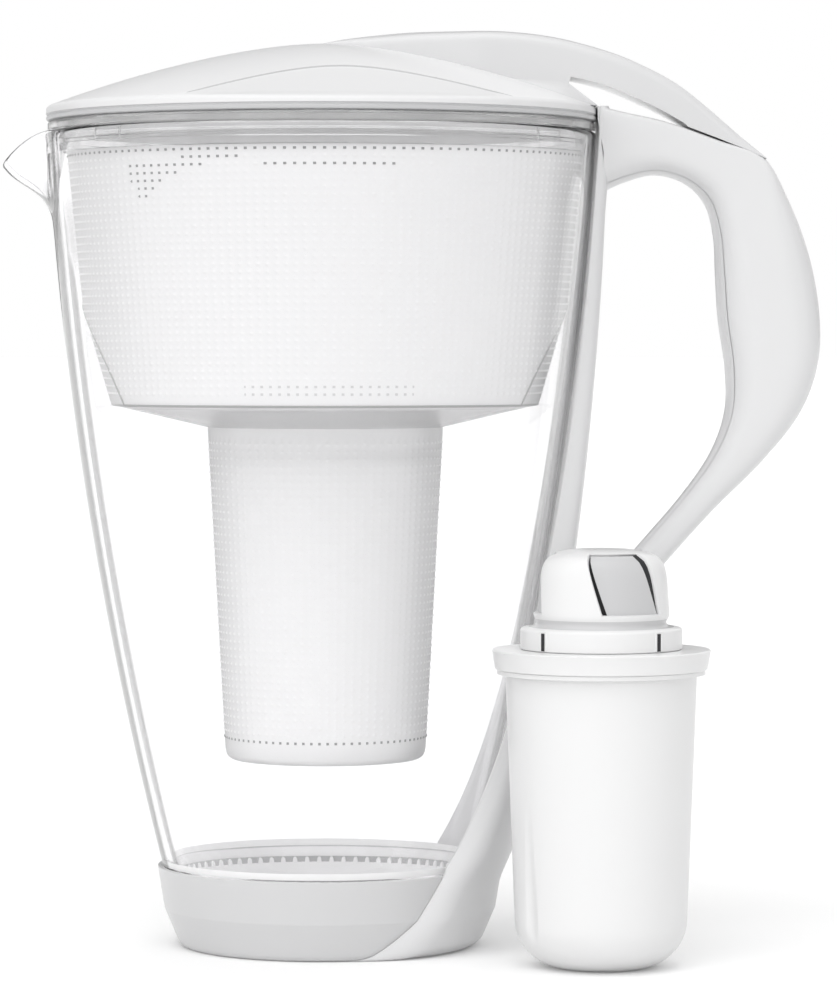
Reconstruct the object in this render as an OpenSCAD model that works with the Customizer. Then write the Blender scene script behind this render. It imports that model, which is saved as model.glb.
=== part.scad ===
// Water filter pitcher with a flip lid: glass jug, plastic frame and handle, hopper and cartridge.
// Millimetres. +Z up, spout towards -X, handle towards +X, origin on the table under the jug's axis.

/* [Jug] */
// Height of the glass rim above the table
rim_z = 236; // [225:1:245]
// Outer radius of the glass at the rim
rim_r = 79.6; // [77:0.2:82]
// Outer radius of the glass where it enters the base cup
foot_r = 46.9; // [45:0.1:48]
// Height at which that radius is measured
foot_z = 25; // [23:0.5:28]
// How far the glass side swells out between foot and rim
jug_bulge = 5.1; // [4:0.1:6]
// Wall of the glass
glass_wall = 3; // [2.4:0.1:3.4]
// Thickness of the glass bottom
glass_bottom = 6; // [4:0.5:9]
// Underside of the glass above the table
glass_z = 6.6; // [6.2:0.1:8]
// Size of the rounding between glass bottom and side
glass_corner = 16; // [12:1:18]

/* [Spout] */
// How far the spout's tip stands out past the rim
spout_reach = 13.1; // [10:0.5:16]
// How far the spout's lip falls below the rim
spout_drop = 10; // [8:0.5:12]
// Height of the spout's throat on the glass
spout_height = 19; // [16:0.5:22]
// Half the spout's width where it leaves the glass
spout_half_w = 19; // [15:0.5:24]
// Radius of the spout's tip
spout_tip_r = 6; // [5.5:0.1:7]

/* [Base] */
// Height of the base cup's rim
cup_top_z = 22.3; // [20:0.1:24]
// Outer radius of the base cup at its rim
cup_top_r = 48; // [47.8:0.1:50]
// Height of the line where the cup's lower band starts to draw in
cup_break_z = 11; // [9:0.5:13]
// Outer radius of the base cup at that line
cup_break_r = 46; // [45.5:0.1:46.5]
// Outer radius of the base cup near the table
cup_foot_r = 42; // [40:0.5:44]
// Wall of the base cup
cup_wall = 1.5; // [1.2:0.1:1.6]
// Radius of the soft pad under the base
pad_r = 36; // [20:1:38]
// Thickness of that pad
pad_t = 1.6; // [1.2:0.1:2]
// Floor of the base cup
cup_floor = 1.6; // [1.2:0.1:2]
// Outer radius of the soft ring that carries the glass
seat_r = 25; // [20:0.5:27]
// Width of that ring
seat_w = 7; // [5:0.5:9]
// Number of teeth round the ring
seat_teeth = 30; // [12:1:40]

/* [Spine] */
// Gap between the glass and the spine
spine_gap = 1; // [0.9:0.05:1.3]
// Thickness of the spine near the rim
spine_top_t = 4.2; // [3.6:0.1:5]
// Thickness of the spine in its lower part
spine_low_t = 8; // [7:0.1:9]
// Height above which the spine starts to thin
spine_thin_z = 115; // [100:1:130]
// Half the spine's width at the handle
spine_half_w = 12; // [11:0.5:13]
// How much wider each side of the spine's leaf is at the table
leaf_flare = 28; // [20:1:30]
// Height over which the leaf narrows to the spine
leaf_reach = 62; // [40:1:66]
// Thickness of the leaf outside the base cup
leaf_t = 4.5; // [3.6:0.1:5]
// Rounding of the leaf's lower edge
leaf_round = 3.5; // [2.5:0.5:6]
// Thickness of the soft strip between glass and spine
liner_t = 0.6; // [0.4:0.05:0.7]
// Half the width of that strip
liner_half_w = 7; // [5:0.5:9]

/* [Handle] */
// Half the handle's width across, at its thickest
grip_half_w = 13.5; // [12:0.5:15]
// Half the handle's width at its lower end
grip_low_half_w = 8; // [6:0.5:9]
// Squareness of the handle's section, where 1 is an ellipse
grip_square = 0.72; // [0.6:0.02:1]
// Angle on each side of the inner edge that the soft cover takes
cover_angle = 38; // [28:1:44]
// Angle left open between the handle and its cover
cover_slit = 1.2; // [0.8:0.1:2]

/* [Hinge] */
// Radius of the hinge pin
pin_r = 1; // [0.8:0.05:1.1]
// Outer radius of the hinge knuckles
knuckle_r = 2.3; // [2.1:0.1:2.5]
// Half the width of the lid's knuckle
knuckle_half_w = 4.5; // [3:0.5:5]
// Half the width over the handle's two knuckles
hinge_half_w = 9; // [7.5:0.5:10]
// Running clearance round the pin
pin_clear = 0.06; // [0.03:0.01:0.09]
// Gap between lid and handle along their seam
seam_gap = 0.3; // [0.25:0.05:0.5]

/* [Hopper] */
// Thickness of the hopper's flange on the glass rim
flange_t = 2.5; // [2:0.1:3]
// Depth of the clear collar below the glass rim
collar_depth = 6.2; // [5:0.1:8]
// Gap between the collar and the inside of the glass
collar_gap = 0.5; // [0.3:0.05:0.6]
// Wall of the collar
collar_wall = 1.3; // [1:0.1:1.6]
// Gap between the bowl's foot and the inside of the glass
bowl_foot_gap = 1.8; // [1.5:0.1:4]
// Height of the bowl's bottom edge
bowl_low_z = 157.3; // [155:0.1:165]
// Height at which the flat facets on the bowl's two ends start
bowl_facet_z = 187.5; // [180:0.5:192]
// How far each facet cuts in at the bowl's bottom edge
bowl_facet_in = 5.6; // [3:0.1:6]
// Fall of the bowl's floor from its edge to the well
bowl_fall = 6.5; // [4:0.5:8]
// Wall of the bowl and of the well
hopper_wall = 2; // [1.6:0.1:2.2]
// How far the bowl stands off the axis towards the handle
bowl_shift = 1; // [0:0.1:1.2]
// Outer radius of the filter well at its top
well_top_r = 34.2; // [33.8:0.1:36]
// Outer radius of the filter well at its bottom
well_low_r = 29; // [28:0.1:32]
// Underside of the filter well above the table
well_z = 54.5; // [50:0.5:60]
// Radius of each outlet hole in the well's floor
outlet_r = 2; // [1.5:0.1:2.5]
// Number of outlet holes
outlet_count = 8; // [6:1:10]

/* [Lid] */
// How far the lid's rim stands out past the glass
lid_over = 0.1; // [0:0.05:0.3]
// Height of the lid's upright rim
lid_band = 4.5; // [4:0.1:5]
// Rise of the dome above the rim
dome_rise = 18.2; // [16:0.2:20]
// Wall of the lid
lid_wall = 2; // [1.6:0.1:2.4]
// Tilt of the flat facet on each side of the dome
facet_tilt = 19; // [18:0.5:20]
// Gap between the ring under the lid and the collar
ring_gap = 1.2; // [1:0.1:1.8]
// Depth of that ring below the lid's edge
ring_depth = 4; // [2:0.5:5]
// Half the width of the lid's tail
tail_half_w = 12; // [11:0.5:13]
// Half the width of the tail's root at the lid's edge
root_half_w = 17; // [14:0.5:20]

/* [Cartridge] */
// Gap between the cartridge's flange and the jug's side
cartridge_gap = 1; // [1:0.5:6]
// Direction in which the cartridge stands, turned from the handle to the front
cartridge_turn = 31.4; // [31:0.1:40]
// Outer radius of the cartridge's body under its flange
body_top_r = 26.9; // [26:0.1:27.5]
// Outer radius of the body near its bottom
body_low_r = 24.3; // [23:0.1:25]
// Radius of the cartridge's flange
rim_flange_r = 30.7; // [30:0.1:31]
// Underside of the flange above the cartridge's bottom
flange_z = 83.7; // [80:0.1:86]
// Thickness of the flange
rim_flange_t = 5.6; // [4:0.1:6]
// Wall of the cartridge's body
body_wall = 2.2; // [2:0.1:2.6]
// Radius of the slotted ring above the flange
slot_ring_r = 22.7; // [22:0.1:24]
// Radius of the cartridge's cap
cap_r = 19; // [18:0.1:20]
// Height of the cap above the slotted ring
cap_h = 22; // [19:0.5:26]
// Wall of the cap
cap_wall = 1.8; // [1.5:0.1:2.2]
// Number of windows round the cap
window_count = 3; // [2:1:3]

/* [Hidden] */

$fn = 96;
// Clearances between pieces that touch, and between pieces that move past each other.
touch = 0.1;
free = 0.3;
// Steps along a curved profile and along the handle.
profile_steps = 14;
grip_steps = 3;
section_points = 12;
// Big enough to pass every cut right through.
beyond = 200;

function mix(a, b, t) = a + (b - a) * t;
function clamp(t) = min(1, max(0, t));
function ease(t) = clamp(t) * clamp(t) * (3 - 2 * clamp(t));
// A quarter-round as the amount it takes off the radius, from c at the edge to 0 at height c.
function round_in(h, c) = h < c ? c * (1 - sqrt(max(0, 1 - pow((c - h) / c, 2)))) : 0;

// Outer radius of the glass at height z.
function jug_u(z) = (z - foot_z) / (rim_z - foot_z);
function jug_r(z) = mix(foot_r, rim_r, jug_u(z)) + 4 * jug_bulge * jug_u(z) * (1 - jug_u(z));
function glass_out(z) = jug_r(z) - round_in(z - glass_z, glass_corner);
glass_floor_z = glass_z + glass_bottom;
function glass_in(z) = jug_r(z) - glass_wall - round_in(z - glass_floor_z, glass_corner - glass_wall);
// Heights of the corners of a profile, closer together where the glass turns into its bottom.
function corner_levels(z0, c) = [for (a = [0:15:90]) z0 + c * (1 - cos(a))];
function side_levels(z0, z1) = [for (i = [1:profile_steps]) mix(z0, z1, i / profile_steps)];

// Outer radius of the base cup at height z.
cup_edge_z = 0.6;
cup_foot_z = 2;
function cup_r(z) = z < cup_break_z
    ? mix(cup_foot_r, cup_break_r, clamp((z - cup_foot_z) / (cup_break_z - cup_foot_z)))
    : mix(cup_break_r, cup_top_r, clamp((z - cup_break_z) / (cup_top_z - cup_break_z)));
cup_levels = [cup_edge_z, 1.2, cup_foot_z, 3, 5, 8, cup_break_z, 14, 18, cup_top_z];
cup_round = 2.4;
function cup_out(z) = cup_r(z) - round_in(z - cup_edge_z, cup_round);
cup_floor_top = pad_t + cup_floor;

// Outer radius of the spine at height z: it follows the cup below and the glass above.
spine_top_z = rim_z + 7.2;
function spine_t(z) = mix(spine_low_t, spine_top_t, clamp((z - spine_thin_z) / (rim_z - 24 - spine_thin_z)));
function spine_glass(z) = jug_r(min(z, rim_z)) + spine_gap;
function spine_in(z) = z < cup_top_z ? cup_out(z) + touch : max(spine_glass(z), cup_top_r + touch);
function spine_out(z) = mix(cup_r(z) + leaf_t, jug_r(min(z, rim_z)) + spine_t(z), ease((z - 17) / 12))
    - round_in(z - cup_edge_z, leaf_round);
spine_low_levels = concat([for (z = cup_levels) if (z < cup_top_z) z],
    [cup_top_z - 0.01, cup_top_z, cup_top_z + 2, cup_top_z + 5]);
spine_start_z = cup_top_z + 9;
spine_levels = concat(spine_low_levels,
    [for (i = [0:profile_steps]) mix(spine_start_z, spine_top_z, i / profile_steps)]);
leaf_power = 1.4;
function spine_w(z) = spine_half_w + leaf_flare * exp(-pow(max(z, 0) / leaf_reach, leaf_power));

// The handle's root: its outlines run from here, X away from the jug and Z from the glass rim.
root = [rim_r + 0.4, rim_z];
function from_root(points) = [for (p = points) root + p];

// The seam on top of the handle, from the lid's edge down to the handle's outer side.
seam = from_root([[0.4, 7.2], [12, 4.5], [24.6, 1.5], [33, -1.7], [42.6, -5.5], [48.4, -8.2]]);
hinge_p = root + [47.6, -9.1];
relief_r = knuckle_r + free;
knuckle_gap = 0.2;

// The handle's section at stations along it: inner x and z, outer x and z, share of the half width.
grip_stations = [
    [0, -18, -0.5, 7.3, 0.88],
    [8, -14.4, 8, 5.3, 0.88],
    [16.5, -12.4, 20, 2.5, 0.89],
    [25, -14.7, 35, -2.8, 0.9],
    [31, -20.7, 47.3, -7.4, 0.92],
    [33.6, -30, 55, -19.6, 0.96],
    [34.2, -41, 61.2, -35.5, 1],
    [35, -54, 64.6, -52, 1],
    [37, -68, 64.2, -67, 1],
    [37, -81, 58.6, -81.4, 0.96],
    [32.6, -93.4, 47.6, -95.4, 0.88],
    [24, -105.8, 33.6, -109.4, 0.78],
    [13, -118.6, 20.6, -123.8, 0.7],
    [1, -132.4, 7.6, -138.6, 0.64],
    [-14, -149.4, -10, -158, 0.6],
    [-28, -165, -24, -174, 0.6]
];
// A smooth curve through a list of vectors, with n steps from each to the next.
function knot(p, i) = p[min(len(p) - 1, max(0, i))];
function curve_at(a, b, c, d, t) =
    b + 0.5 * t * (c - a + t * (2 * a - 5 * b + 4 * c - d + t * (3 * (b - c) + d - a)));
function curve(p, n) = concat(
    [for (i = [0:len(p) - 2], k = [0:n - 1])
        curve_at(knot(p, i - 1), p[i], p[i + 1], knot(p, i + 2), k / n)],
    [p[len(p) - 1]]);
grip_curve = curve(grip_stations, grip_steps);
function squared(v) = sign(v) * pow(abs(v), grip_square);
function grip_w(share) = mix(grip_low_half_w, grip_half_w, clamp((share - 0.6) / 0.4));
// A point of the section s at angle a, where 180 is the inner edge and 0 the outer one.
function grip_point(s, a) = [
    root[0] + (s[0] + s[2]) / 2 + (s[2] - s[0]) / 2 * squared(cos(a)),
    grip_w(s[4]) * squared(sin(a)),
    root[1] + (s[1] + s[3]) / 2 + (s[3] - s[1]) / 2 * squared(cos(a))
];

// Lid heights.
flange_low_z = rim_z + touch;
flange_top_z = flange_low_z + flange_t;
lid_z = flange_top_z + free;
dome_z = lid_z + lid_band;
lid_r = rim_r + lid_over;
lid_chamfer = 0.9;
dome_r = lid_r - 1.1;
dome_power = 1.6;
// Width of the lid's upright rim, inside which the dome is hollow.
lid_edge_w = 5;
ring_wall = 1.8;
apex_z = dome_z + dome_rise;
function dome(r) = apex_z - dome_rise * pow(r / dome_r, dome_power);
dome_radii = [for (i = [0:profile_steps]) dome_r * (1 - i / profile_steps)];
facet_in = lid_r - 0.7;
facet_turn = 6;

// The tail's outline along its top, from the dome's middle to the seam's end.
tail_top = from_root([[-81, 25.4], [-72, 27.1], [-56.5, 28.7], [-42, 29.3], [-27, 29.3], [-12, 27.3],
    [3, 23.3], [13, 19.2], [23, 13.8], [33, 5.9], [43, -3.1], [48.4, -7.8]]);
// Its underside from the seam back to the window's tip, and the root's top inside it.
tail_under = from_root([[24.9, 1.9], [20, 4.8], [13, 8.3], [3, 12.6], [-4, 14.6], [-9.7, 15.7]]);
root_top = from_root([[-34, 14], [-18, 16]]);
tail_edge_x = lid_r - 0.4;
tail_edge_z = dome_z + 0.2;
tail_nose_w = 1.5;
tail_nose_x = tail_top[0][0];
tail_full_x = root_top[0][0];
tail_end_x = root[0] + 60;
// The soft ring in the lid's edge.
seal_step = 0.2;
lid_seal_w = 1;
lid_seal_h = 2;

// Hopper heights.
collar_low_z = rim_z - collar_depth;
collar_r = rim_r - glass_wall - collar_gap - collar_wall;
flange_r = lid_r - 0.5;
ring_r = collar_r - ring_gap;
bowl_top_z = collar_low_z - touch;
bowl_top_r = collar_r - 0.2;
bowl_low_r = glass_in(bowl_low_z) - bowl_foot_gap;
// Where a facet lies at height z, on the straight side at its start and inside it at the foot.
function bowl_side(z) = mix(bowl_low_r, bowl_top_r, (z - bowl_low_z) / (bowl_top_z - bowl_low_z));
function facet_x(z) = mix(bowl_low_r - bowl_facet_in, bowl_side(bowl_facet_z),
    (z - bowl_low_z) / (bowl_facet_z - bowl_low_z));
well_top_z = bowl_low_z - bowl_fall;
function well_r(z) = mix(well_low_r, well_top_r, (z - well_z) / (well_top_z - well_z));
bowl_hole_r = well_top_r + touch;
lip_w = 3;
lip_t = 1.6;
well_corner = 2.5;
// The well's floor thickens over this width at its corner, and its lip lies on the bowl's floor.
well_fillet = 1;
lip_z = well_top_z + hopper_wall + lip_w * bowl_fall / (bowl_low_r - bowl_hole_r) + touch;
seal_top_z = well_top_z - 6.6;
seal_h = 3;
seal_w = 3.5;
seal_in_r = well_r(seal_top_z) - hopper_wall - seal_w;
outlet_ring_r = well_low_r * 0.55;

// Cartridge heights, from its own bottom.
foot_round = 13;
flange_top = flange_z + rim_flange_t;
slot_ring_h = 6.2;
waist_h = 1.2;
waist_in = 0.9;
cap_z = flange_top + slot_ring_h;
cartridge_h = cap_z + cap_h;
cartridge_away = jug_r(flange_top) + rim_flange_r + cartridge_gap;
cap_round = 8;
function cup_body_r(z) = mix(body_low_r, body_top_r, (z - 15) / (flange_z - 15));
function cup_body_out(z) = cup_body_r(z) - round_in(z, foot_round);
screen_t = 1;
fleece_t = 3;
media_low = body_wall + screen_t + fleece_t + 3 * touch;
media_high = flange_z - 6;
body_levels = concat([for (a = [0:15:90]) foot_round * (1 - cos(a))], [30, 50, 70, flange_z]);
// Height inside the cup at which its side meets its floor, and radius of its neck.
cup_floor_h = body_wall + 0.6;
neck_r = slot_ring_r - 0.9;
flange_chamfer = 0.7;
// The seal under the flange.
flange_seal_t = 1.2;
flange_seal_in = 1.5;
// The windows in the cap and the mesh set back in them.
window_turn = -70;
window_w = 14;
window_low = cap_z + 4.5;
window_high = cartridge_h - cap_round;
window_deep = 1.4;
window_t = 0.7;
// The upright slots round the ring.
slot_count = 4;
slot_turn = 22.5;
slot_w = 1.4;
slot_deep = 1;
// The flute up the cup's side.
flute_turn = 215;
flute_r = 6;
flute_depth = 1.6;
flute_lean = 3.4;
flute_h = 64;

// The soft strip's lower and upper end.
liner_low_z = 34;
liner_top_z = 216;

// Screws.
screw_r = 1.4;
screw_head_r = 2.8;
screw_head_h = 1.6;
top_screw_z = [rim_z - 9, rim_z];
low_screw_z = rim_z - 151;
// Where the head of a handle screw at height z starts: clear of the soft strip.
function screw_x(z) = spine_glass(z + screw_head_r);
top_screw_y = 6;
low_screw_y = 3.4;
top_screw_len = 12;
low_screw_len = 11;
base_screw_turn = [-24, 24];
base_screw_z = 8.8;
base_screw_len = 4;
base_screw_x = cup_r(base_screw_z - screw_head_r) - cup_wall - screw_head_h - free;
// How far a screw's bore goes on past its tip, and how far a through hole reaches on each side.
bore_spare = 0.5;
hole_reach = 15;
tail_screw_x = [root[0] - 58, root[0] - 28];
tail_screw_len = 7;
// The underside of a tail screw's head, a little below the dome's slope.
head_drop = 1;
function tail_screw_z(x) = dome(x) - lid_wall - screw_head_h - head_drop;

module jug_solid() {
    rotate_extrude()
        polygon(concat([[0, glass_z]],
            [for (z = corner_levels(glass_z, glass_corner)) [glass_out(z), z]],
            [for (z = side_levels(glass_z + glass_corner, rim_z)) [glass_out(z), z]],
            [[0, rim_z]]));
}

module jug_hollow() {
    inner_corner = glass_corner - glass_wall;
    rotate_extrude()
        polygon(concat([[0, glass_floor_z]],
            [for (z = corner_levels(glass_floor_z, inner_corner)) [glass_in(z), z]],
            [for (z = side_levels(glass_floor_z + inner_corner, rim_z)) [glass_in(z), z]],
            [[jug_r(rim_z) - glass_wall, rim_z + 1], [0, rim_z + 1]]));
}

// The spout as a hull of balls: the same balls, smaller by the wall, hollow it.
module spout_balls(inset) {
    tip_x = -(rim_r + spout_reach - spout_tip_r);
    shoulder_x = sqrt(pow(rim_r, 2) - pow(spout_half_w, 2)) - spout_tip_r / 2;
    hull() {
        translate([tip_x, 0, rim_z - spout_drop]) sphere(r = spout_tip_r - inset, $fn = 32);
        for (side = [-1, 1])
            translate([-shoulder_x, side * (spout_half_w - spout_tip_r), rim_z - 1])
                sphere(r = spout_tip_r - inset, $fn = 32);
        translate([spout_tip_r - rim_r, 0, rim_z - spout_height + spout_tip_r])
            sphere(r = spout_tip_r - inset, $fn = 32);
    }
}

// Everything above the spout's lip, which falls from the rim to the tip.
module above_lip() {
    fall = atan2(spout_drop - 0.5, spout_reach);
    translate([-rim_r, 0, rim_z])
        rotate([0, -fall, 0])
            translate([-beyond, -beyond / 2, 0])
                cube([beyond + 12, beyond, beyond]);
}

module glass_jug() {
    color([0.86, 0.9, 0.93, 0.35])
        difference() {
            union() {
                jug_solid();
                difference() {
                    spout_balls(0);
                    above_lip();
                    translate([0, 0, rim_z]) cylinder(r = beyond, h = beyond);
                }
            }
            jug_hollow();
            spout_balls(glass_wall * 0.8);
        }
}

module base_cup() {
    color("gainsboro")
        difference() {
            rotate_extrude()
                polygon(concat([[0, cup_edge_z]], [for (z = cup_levels) [cup_out(z), z]], [[0, cup_top_z]]));
            rotate_extrude()
                polygon([[0, cup_floor_top], [cup_r(6) - cup_wall - 3, cup_floor_top],
                    [cup_r(6) - cup_wall, cup_floor_top + 3], [cup_top_r - cup_wall, cup_top_z],
                    [cup_top_r - cup_wall, cup_top_z + 1], [0, cup_top_z + 1]]);
            translate([0, 0, -1]) cylinder(r = pad_r + touch, h = pad_t + 1);
            for (turn = base_screw_turn)
                rotate([0, 0, turn]) screw_bore(base_screw_z, 0, base_screw_x, base_screw_len);
        }
}

module glass_seat_ring() {
    ring_h = glass_z - cup_floor_top - 2 * touch;
    tooth_h = 1;
    color("lightgray")
        translate([0, 0, cup_floor_top + touch])
            union() {
                difference() {
                    cylinder(r = seat_r, h = ring_h - tooth_h);
                    translate([0, 0, -1]) cylinder(r = seat_r - seat_w, h = ring_h + 2);
                }
                for (i = [0:seat_teeth - 1])
                    rotate([0, 0, i * 360 / seat_teeth])
                        translate([seat_r - seat_w + 1, -0.8, 0])
                            cube([seat_w - 2, 1.6, ring_h]);
            }
}

module foot_pad() {
    color("silver") cylinder(r = pad_r, h = pad_t - touch);
}

// What lies between the heights of the spine's outline, seen from the handle side.
module spine_outline() {
    rotate([90, 0, 90])
        linear_extrude(height = beyond)
            polygon(concat([for (z = spine_levels) [spine_w(z), z]],
                [for (i = [len(spine_levels) - 1:-1:0]) [-spine_w(spine_levels[i]), spine_levels[i]]]));
}

// A horizontal screw's through hole at height z and side y in a wall at x, and its head's seat.
module screw_hole(z, y, x) {
    translate([x - hole_reach, y, z])
        rotate([0, 90, 0]) cylinder(r = screw_r + touch / 2, h = 2 * hole_reach);
}

module screw_seat(z, y, x) {
    translate([x - hole_reach, y, z])
        rotate([0, 90, 0]) cylinder(r = screw_head_r + touch, h = hole_reach + screw_head_h + touch);
}

// The blind bore of a horizontal screw whose head starts at x.
module screw_bore(z, y, x, len) {
    translate([x, y, z])
        rotate([0, 90, 0]) cylinder(r = screw_r + touch / 2, h = screw_head_h + len + bore_spare);
}

module spine_ring() {
    rotate_extrude()
        polygon(concat([for (z = spine_levels) [spine_in(z), z]],
            [for (i = [len(spine_levels) - 1:-1:0]) [spine_out(spine_levels[i]), spine_levels[i]]]));
}

module handle_spine() {
    color("whitesmoke")
        difference() {
            intersection() {
                spine_ring();
                spine_outline();
            }
            for (z = top_screw_z, side = [-1, 1]) {
                screw_hole(z, side * top_screw_y, screw_x(z));
                screw_seat(z, side * top_screw_y, screw_x(z));
            }
            for (side = [-1, 1]) {
                screw_hole(low_screw_z, side * low_screw_y, screw_x(low_screw_z));
                screw_seat(low_screw_z, side * low_screw_y, screw_x(low_screw_z));
            }
            for (turn = base_screw_turn)
                rotate([0, 0, turn]) screw_bore(base_screw_z, 0, base_screw_x, base_screw_len);
        }
}

module spine_liner() {
    levels = [for (i = [0:profile_steps]) mix(liner_low_z, liner_top_z, i / profile_steps)];
    color("silver")
        intersection() {
            rotate_extrude()
                polygon(concat([for (z = levels) [spine_glass(z) - liner_t - touch, z]],
                    [for (i = [len(levels) - 1:-1:0]) [spine_glass(levels[i]) - touch, levels[i]]]));
            translate([0, -liner_half_w, 0]) cube([beyond, 2 * liner_half_w, beyond * 2]);
        }
}

// A closed skin over the handle's sections, between two angles of the section.
module grip_skin(from, to) {
    n = section_points;
    m = len(grip_curve);
    points = [for (s = grip_curve, k = [0:n - 1]) grip_point(s, mix(from, to, k / (n - 1)))];
    sides = [for (i = [0:m - 2], k = [0:n - 1], half = [0, 1])
        let (a = i * n + k, b = i * n + (k + 1) % n)
            half == 0 ? [a, b, b + n] : [a, b + n, a + n]];
    caps = concat([for (k = [1:n - 2]) [0, k + 1, k]],
        [for (k = [1:n - 2]) [(m - 1) * n, (m - 1) * n + k, (m - 1) * n + k + 1]]);
    polyhedron(points = points, faces = concat(sides, caps), convexity = 6);
}

// What the spine takes from the handle where the two meet.
module spine_clear() {
    rotate_extrude()
        polygon(concat([[0, cup_edge_z]], [for (z = spine_levels) [spine_out(z) + touch, z]],
            [[spine_out(spine_top_z) + touch, spine_top_z + 20], [0, spine_top_z + 20]]));
}

// Everything above the seam.
module above_seam() {
    first = seam[0];
    last = seam[len(seam) - 1];
    translate([0, beyond / 2, 0])
        rotate([90, 0, 0])
            linear_extrude(height = beyond)
                polygon(concat([first + [-30, 7]], seam,
                    [last + [20, -8], [last[0] + 20, beyond * 2], [first[0] - 30, beyond * 2]]));
}

module hinge_cylinder(r, half_w) {
    translate([hinge_p[0], half_w, hinge_p[1]]) rotate([90, 0, 0]) cylinder(r = r, h = 2 * half_w);
}

module handle_grip() {
    color("white")
        difference() {
            union() {
                difference() {
                    grip_skin(cover_angle - 180, 180 - cover_angle);
                    spine_clear();
                    above_seam();
                }
                difference() {
                    hinge_cylinder(knuckle_r, hinge_half_w);
                    hinge_cylinder(knuckle_r + 1, knuckle_half_w + knuckle_gap);
                }
            }
            hinge_cylinder(relief_r, knuckle_half_w + knuckle_gap);
            hinge_cylinder(pin_r + touch / 2, hinge_half_w + 1);
            for (z = top_screw_z, side = [-1, 1])
                screw_bore(z, side * top_screw_y, screw_x(z), top_screw_len);
            for (side = [-1, 1])
                screw_bore(low_screw_z, side * low_screw_y, screw_x(low_screw_z), low_screw_len);
        }
}

module grip_cover() {
    color("white")
        difference() {
            grip_skin(180 - cover_angle + cover_slit, 180 + cover_angle - cover_slit);
            spine_clear();
        }
}

module screw(x, y, z, len) {
    translate([x, y, z])
        rotate([0, 90, 0])
            union() {
                cylinder(r = screw_head_r, h = screw_head_h);
                cylinder(r = screw_r, h = screw_head_h + len);
            }
}

module handle_screws() {
    color("silver") {
        for (z = top_screw_z, side = [-1, 1])
            screw(screw_x(z), side * top_screw_y, z, top_screw_len);
        for (side = [-1, 1])
            screw(screw_x(low_screw_z), side * low_screw_y, low_screw_z, low_screw_len);
    }
}

module base_screws() {
    color("silver")
        for (turn = base_screw_turn)
            rotate([0, 0, turn])
                screw(base_screw_x, 0, base_screw_z, base_screw_len);
}

module hopper_rim() {
    color([0.85, 0.88, 0.9, 0.5])
        rotate_extrude()
            polygon([[collar_r, collar_low_z], [collar_r + collar_wall, collar_low_z],
                [collar_r + collar_wall, flange_low_z], [flange_r, flange_low_z],
                [flange_r, flange_top_z], [collar_r, flange_top_z]]);
}

// The bowl's form, drawn in by inset and raised by lift, with its two facets and its cone floor.
module bowl_form(inset, lift) {
    intersection() {
        rotate_extrude()
            polygon([[0, well_top_z + lift], [bowl_hole_r, well_top_z + lift],
                [bowl_low_r - inset, bowl_low_z + lift], [bowl_top_r - inset, bowl_top_z + lift],
                [0, bowl_top_z + lift]]);
        across()
            polygon([[-facet_x(well_z) + inset, well_z], [facet_x(well_z) - inset, well_z],
                [facet_x(rim_z) - inset, rim_z], [-facet_x(rim_z) + inset, rim_z]]);
    }
}

module hopper_bowl() {
    color([0.9, 0.9, 0.92, 0.6])
        translate([bowl_shift, 0, 0])
            difference() {
                bowl_form(0, 0);
                bowl_form(hopper_wall, hopper_wall);
                translate([0, 0, well_top_z - 1]) cylinder(r = bowl_hole_r, h = bowl_fall);
            }
}

module filter_well() {
    color([0.9, 0.9, 0.92, 0.6])
        translate([bowl_shift, 0, 0])
            difference() {
                rotate_extrude()
                    polygon([[0, well_z], [well_low_r - well_corner, well_z],
                        [well_low_r, well_z + well_corner], [well_top_r, well_top_z],
                        [well_top_r, lip_z], [well_top_r + lip_w, lip_z],
                        [well_top_r + lip_w, lip_z + lip_t], [well_top_r - hopper_wall, lip_z + lip_t],
                        [well_top_r - hopper_wall, well_top_z],
                        [well_low_r - hopper_wall, well_z + well_corner],
                        [well_low_r - well_corner - well_fillet, well_z + hopper_wall],
                        [0, well_z + hopper_wall]]);
                for (i = [0:outlet_count - 1])
                    rotate([0, 0, i * 360 / outlet_count])
                        translate([outlet_ring_r, 0, well_z - 1]) cylinder(r = outlet_r, h = hopper_wall + 2);
            }
}

module well_seal() {
    color("gainsboro")
        translate([bowl_shift, 0, 0])
            rotate_extrude()
                polygon([[seal_in_r, seal_top_z - seal_h],
                    [well_r(seal_top_z - seal_h) - hopper_wall - touch, seal_top_z - seal_h],
                    [well_r(seal_top_z) - hopper_wall - touch, seal_top_z], [seal_in_r, seal_top_z]]);
}

module hinge_pin() {
    color("silver") hinge_cylinder(pin_r, hinge_half_w);
}

// The dome's outer skin from the lid's edge up, raised by gap.
module dome_solid(gap) {
    rotate_extrude()
        polygon(concat([[0, lid_z], [lid_r - lid_chamfer, lid_z], [lid_r, lid_z + lid_chamfer],
                [lid_r, dome_z - lid_chamfer + gap]],
            [for (r = dome_radii) [r, dome(r) + gap]]));
}

module facet_cut(side) {
    rotate([0, 0, facet_turn])
        translate([0, side * facet_in, dome_z])
            rotate([-side * facet_tilt, 0, 0])
                translate([-beyond / 2, -beyond / 2, 0])
                    cube([beyond, beyond, beyond]);
}

module lid_shell() {
    hollow_r = lid_r - lid_edge_w;
    color("white")
        difference() {
            dome_solid(0);
            rotate_extrude()
                polygon(concat([[0, lid_z - 1], [hollow_r, lid_z - 1], [hollow_r, dome(hollow_r) - lid_wall]],
                    [for (r = dome_radii) if (r < hollow_r) [r, dome(r) - lid_wall]]));
            for (side = [-1, 1]) facet_cut(side);
            for (x = tail_screw_x)
                translate([x, 0, lid_z]) cylinder(r = screw_r + touch / 2, h = beyond);
        }
}

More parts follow.
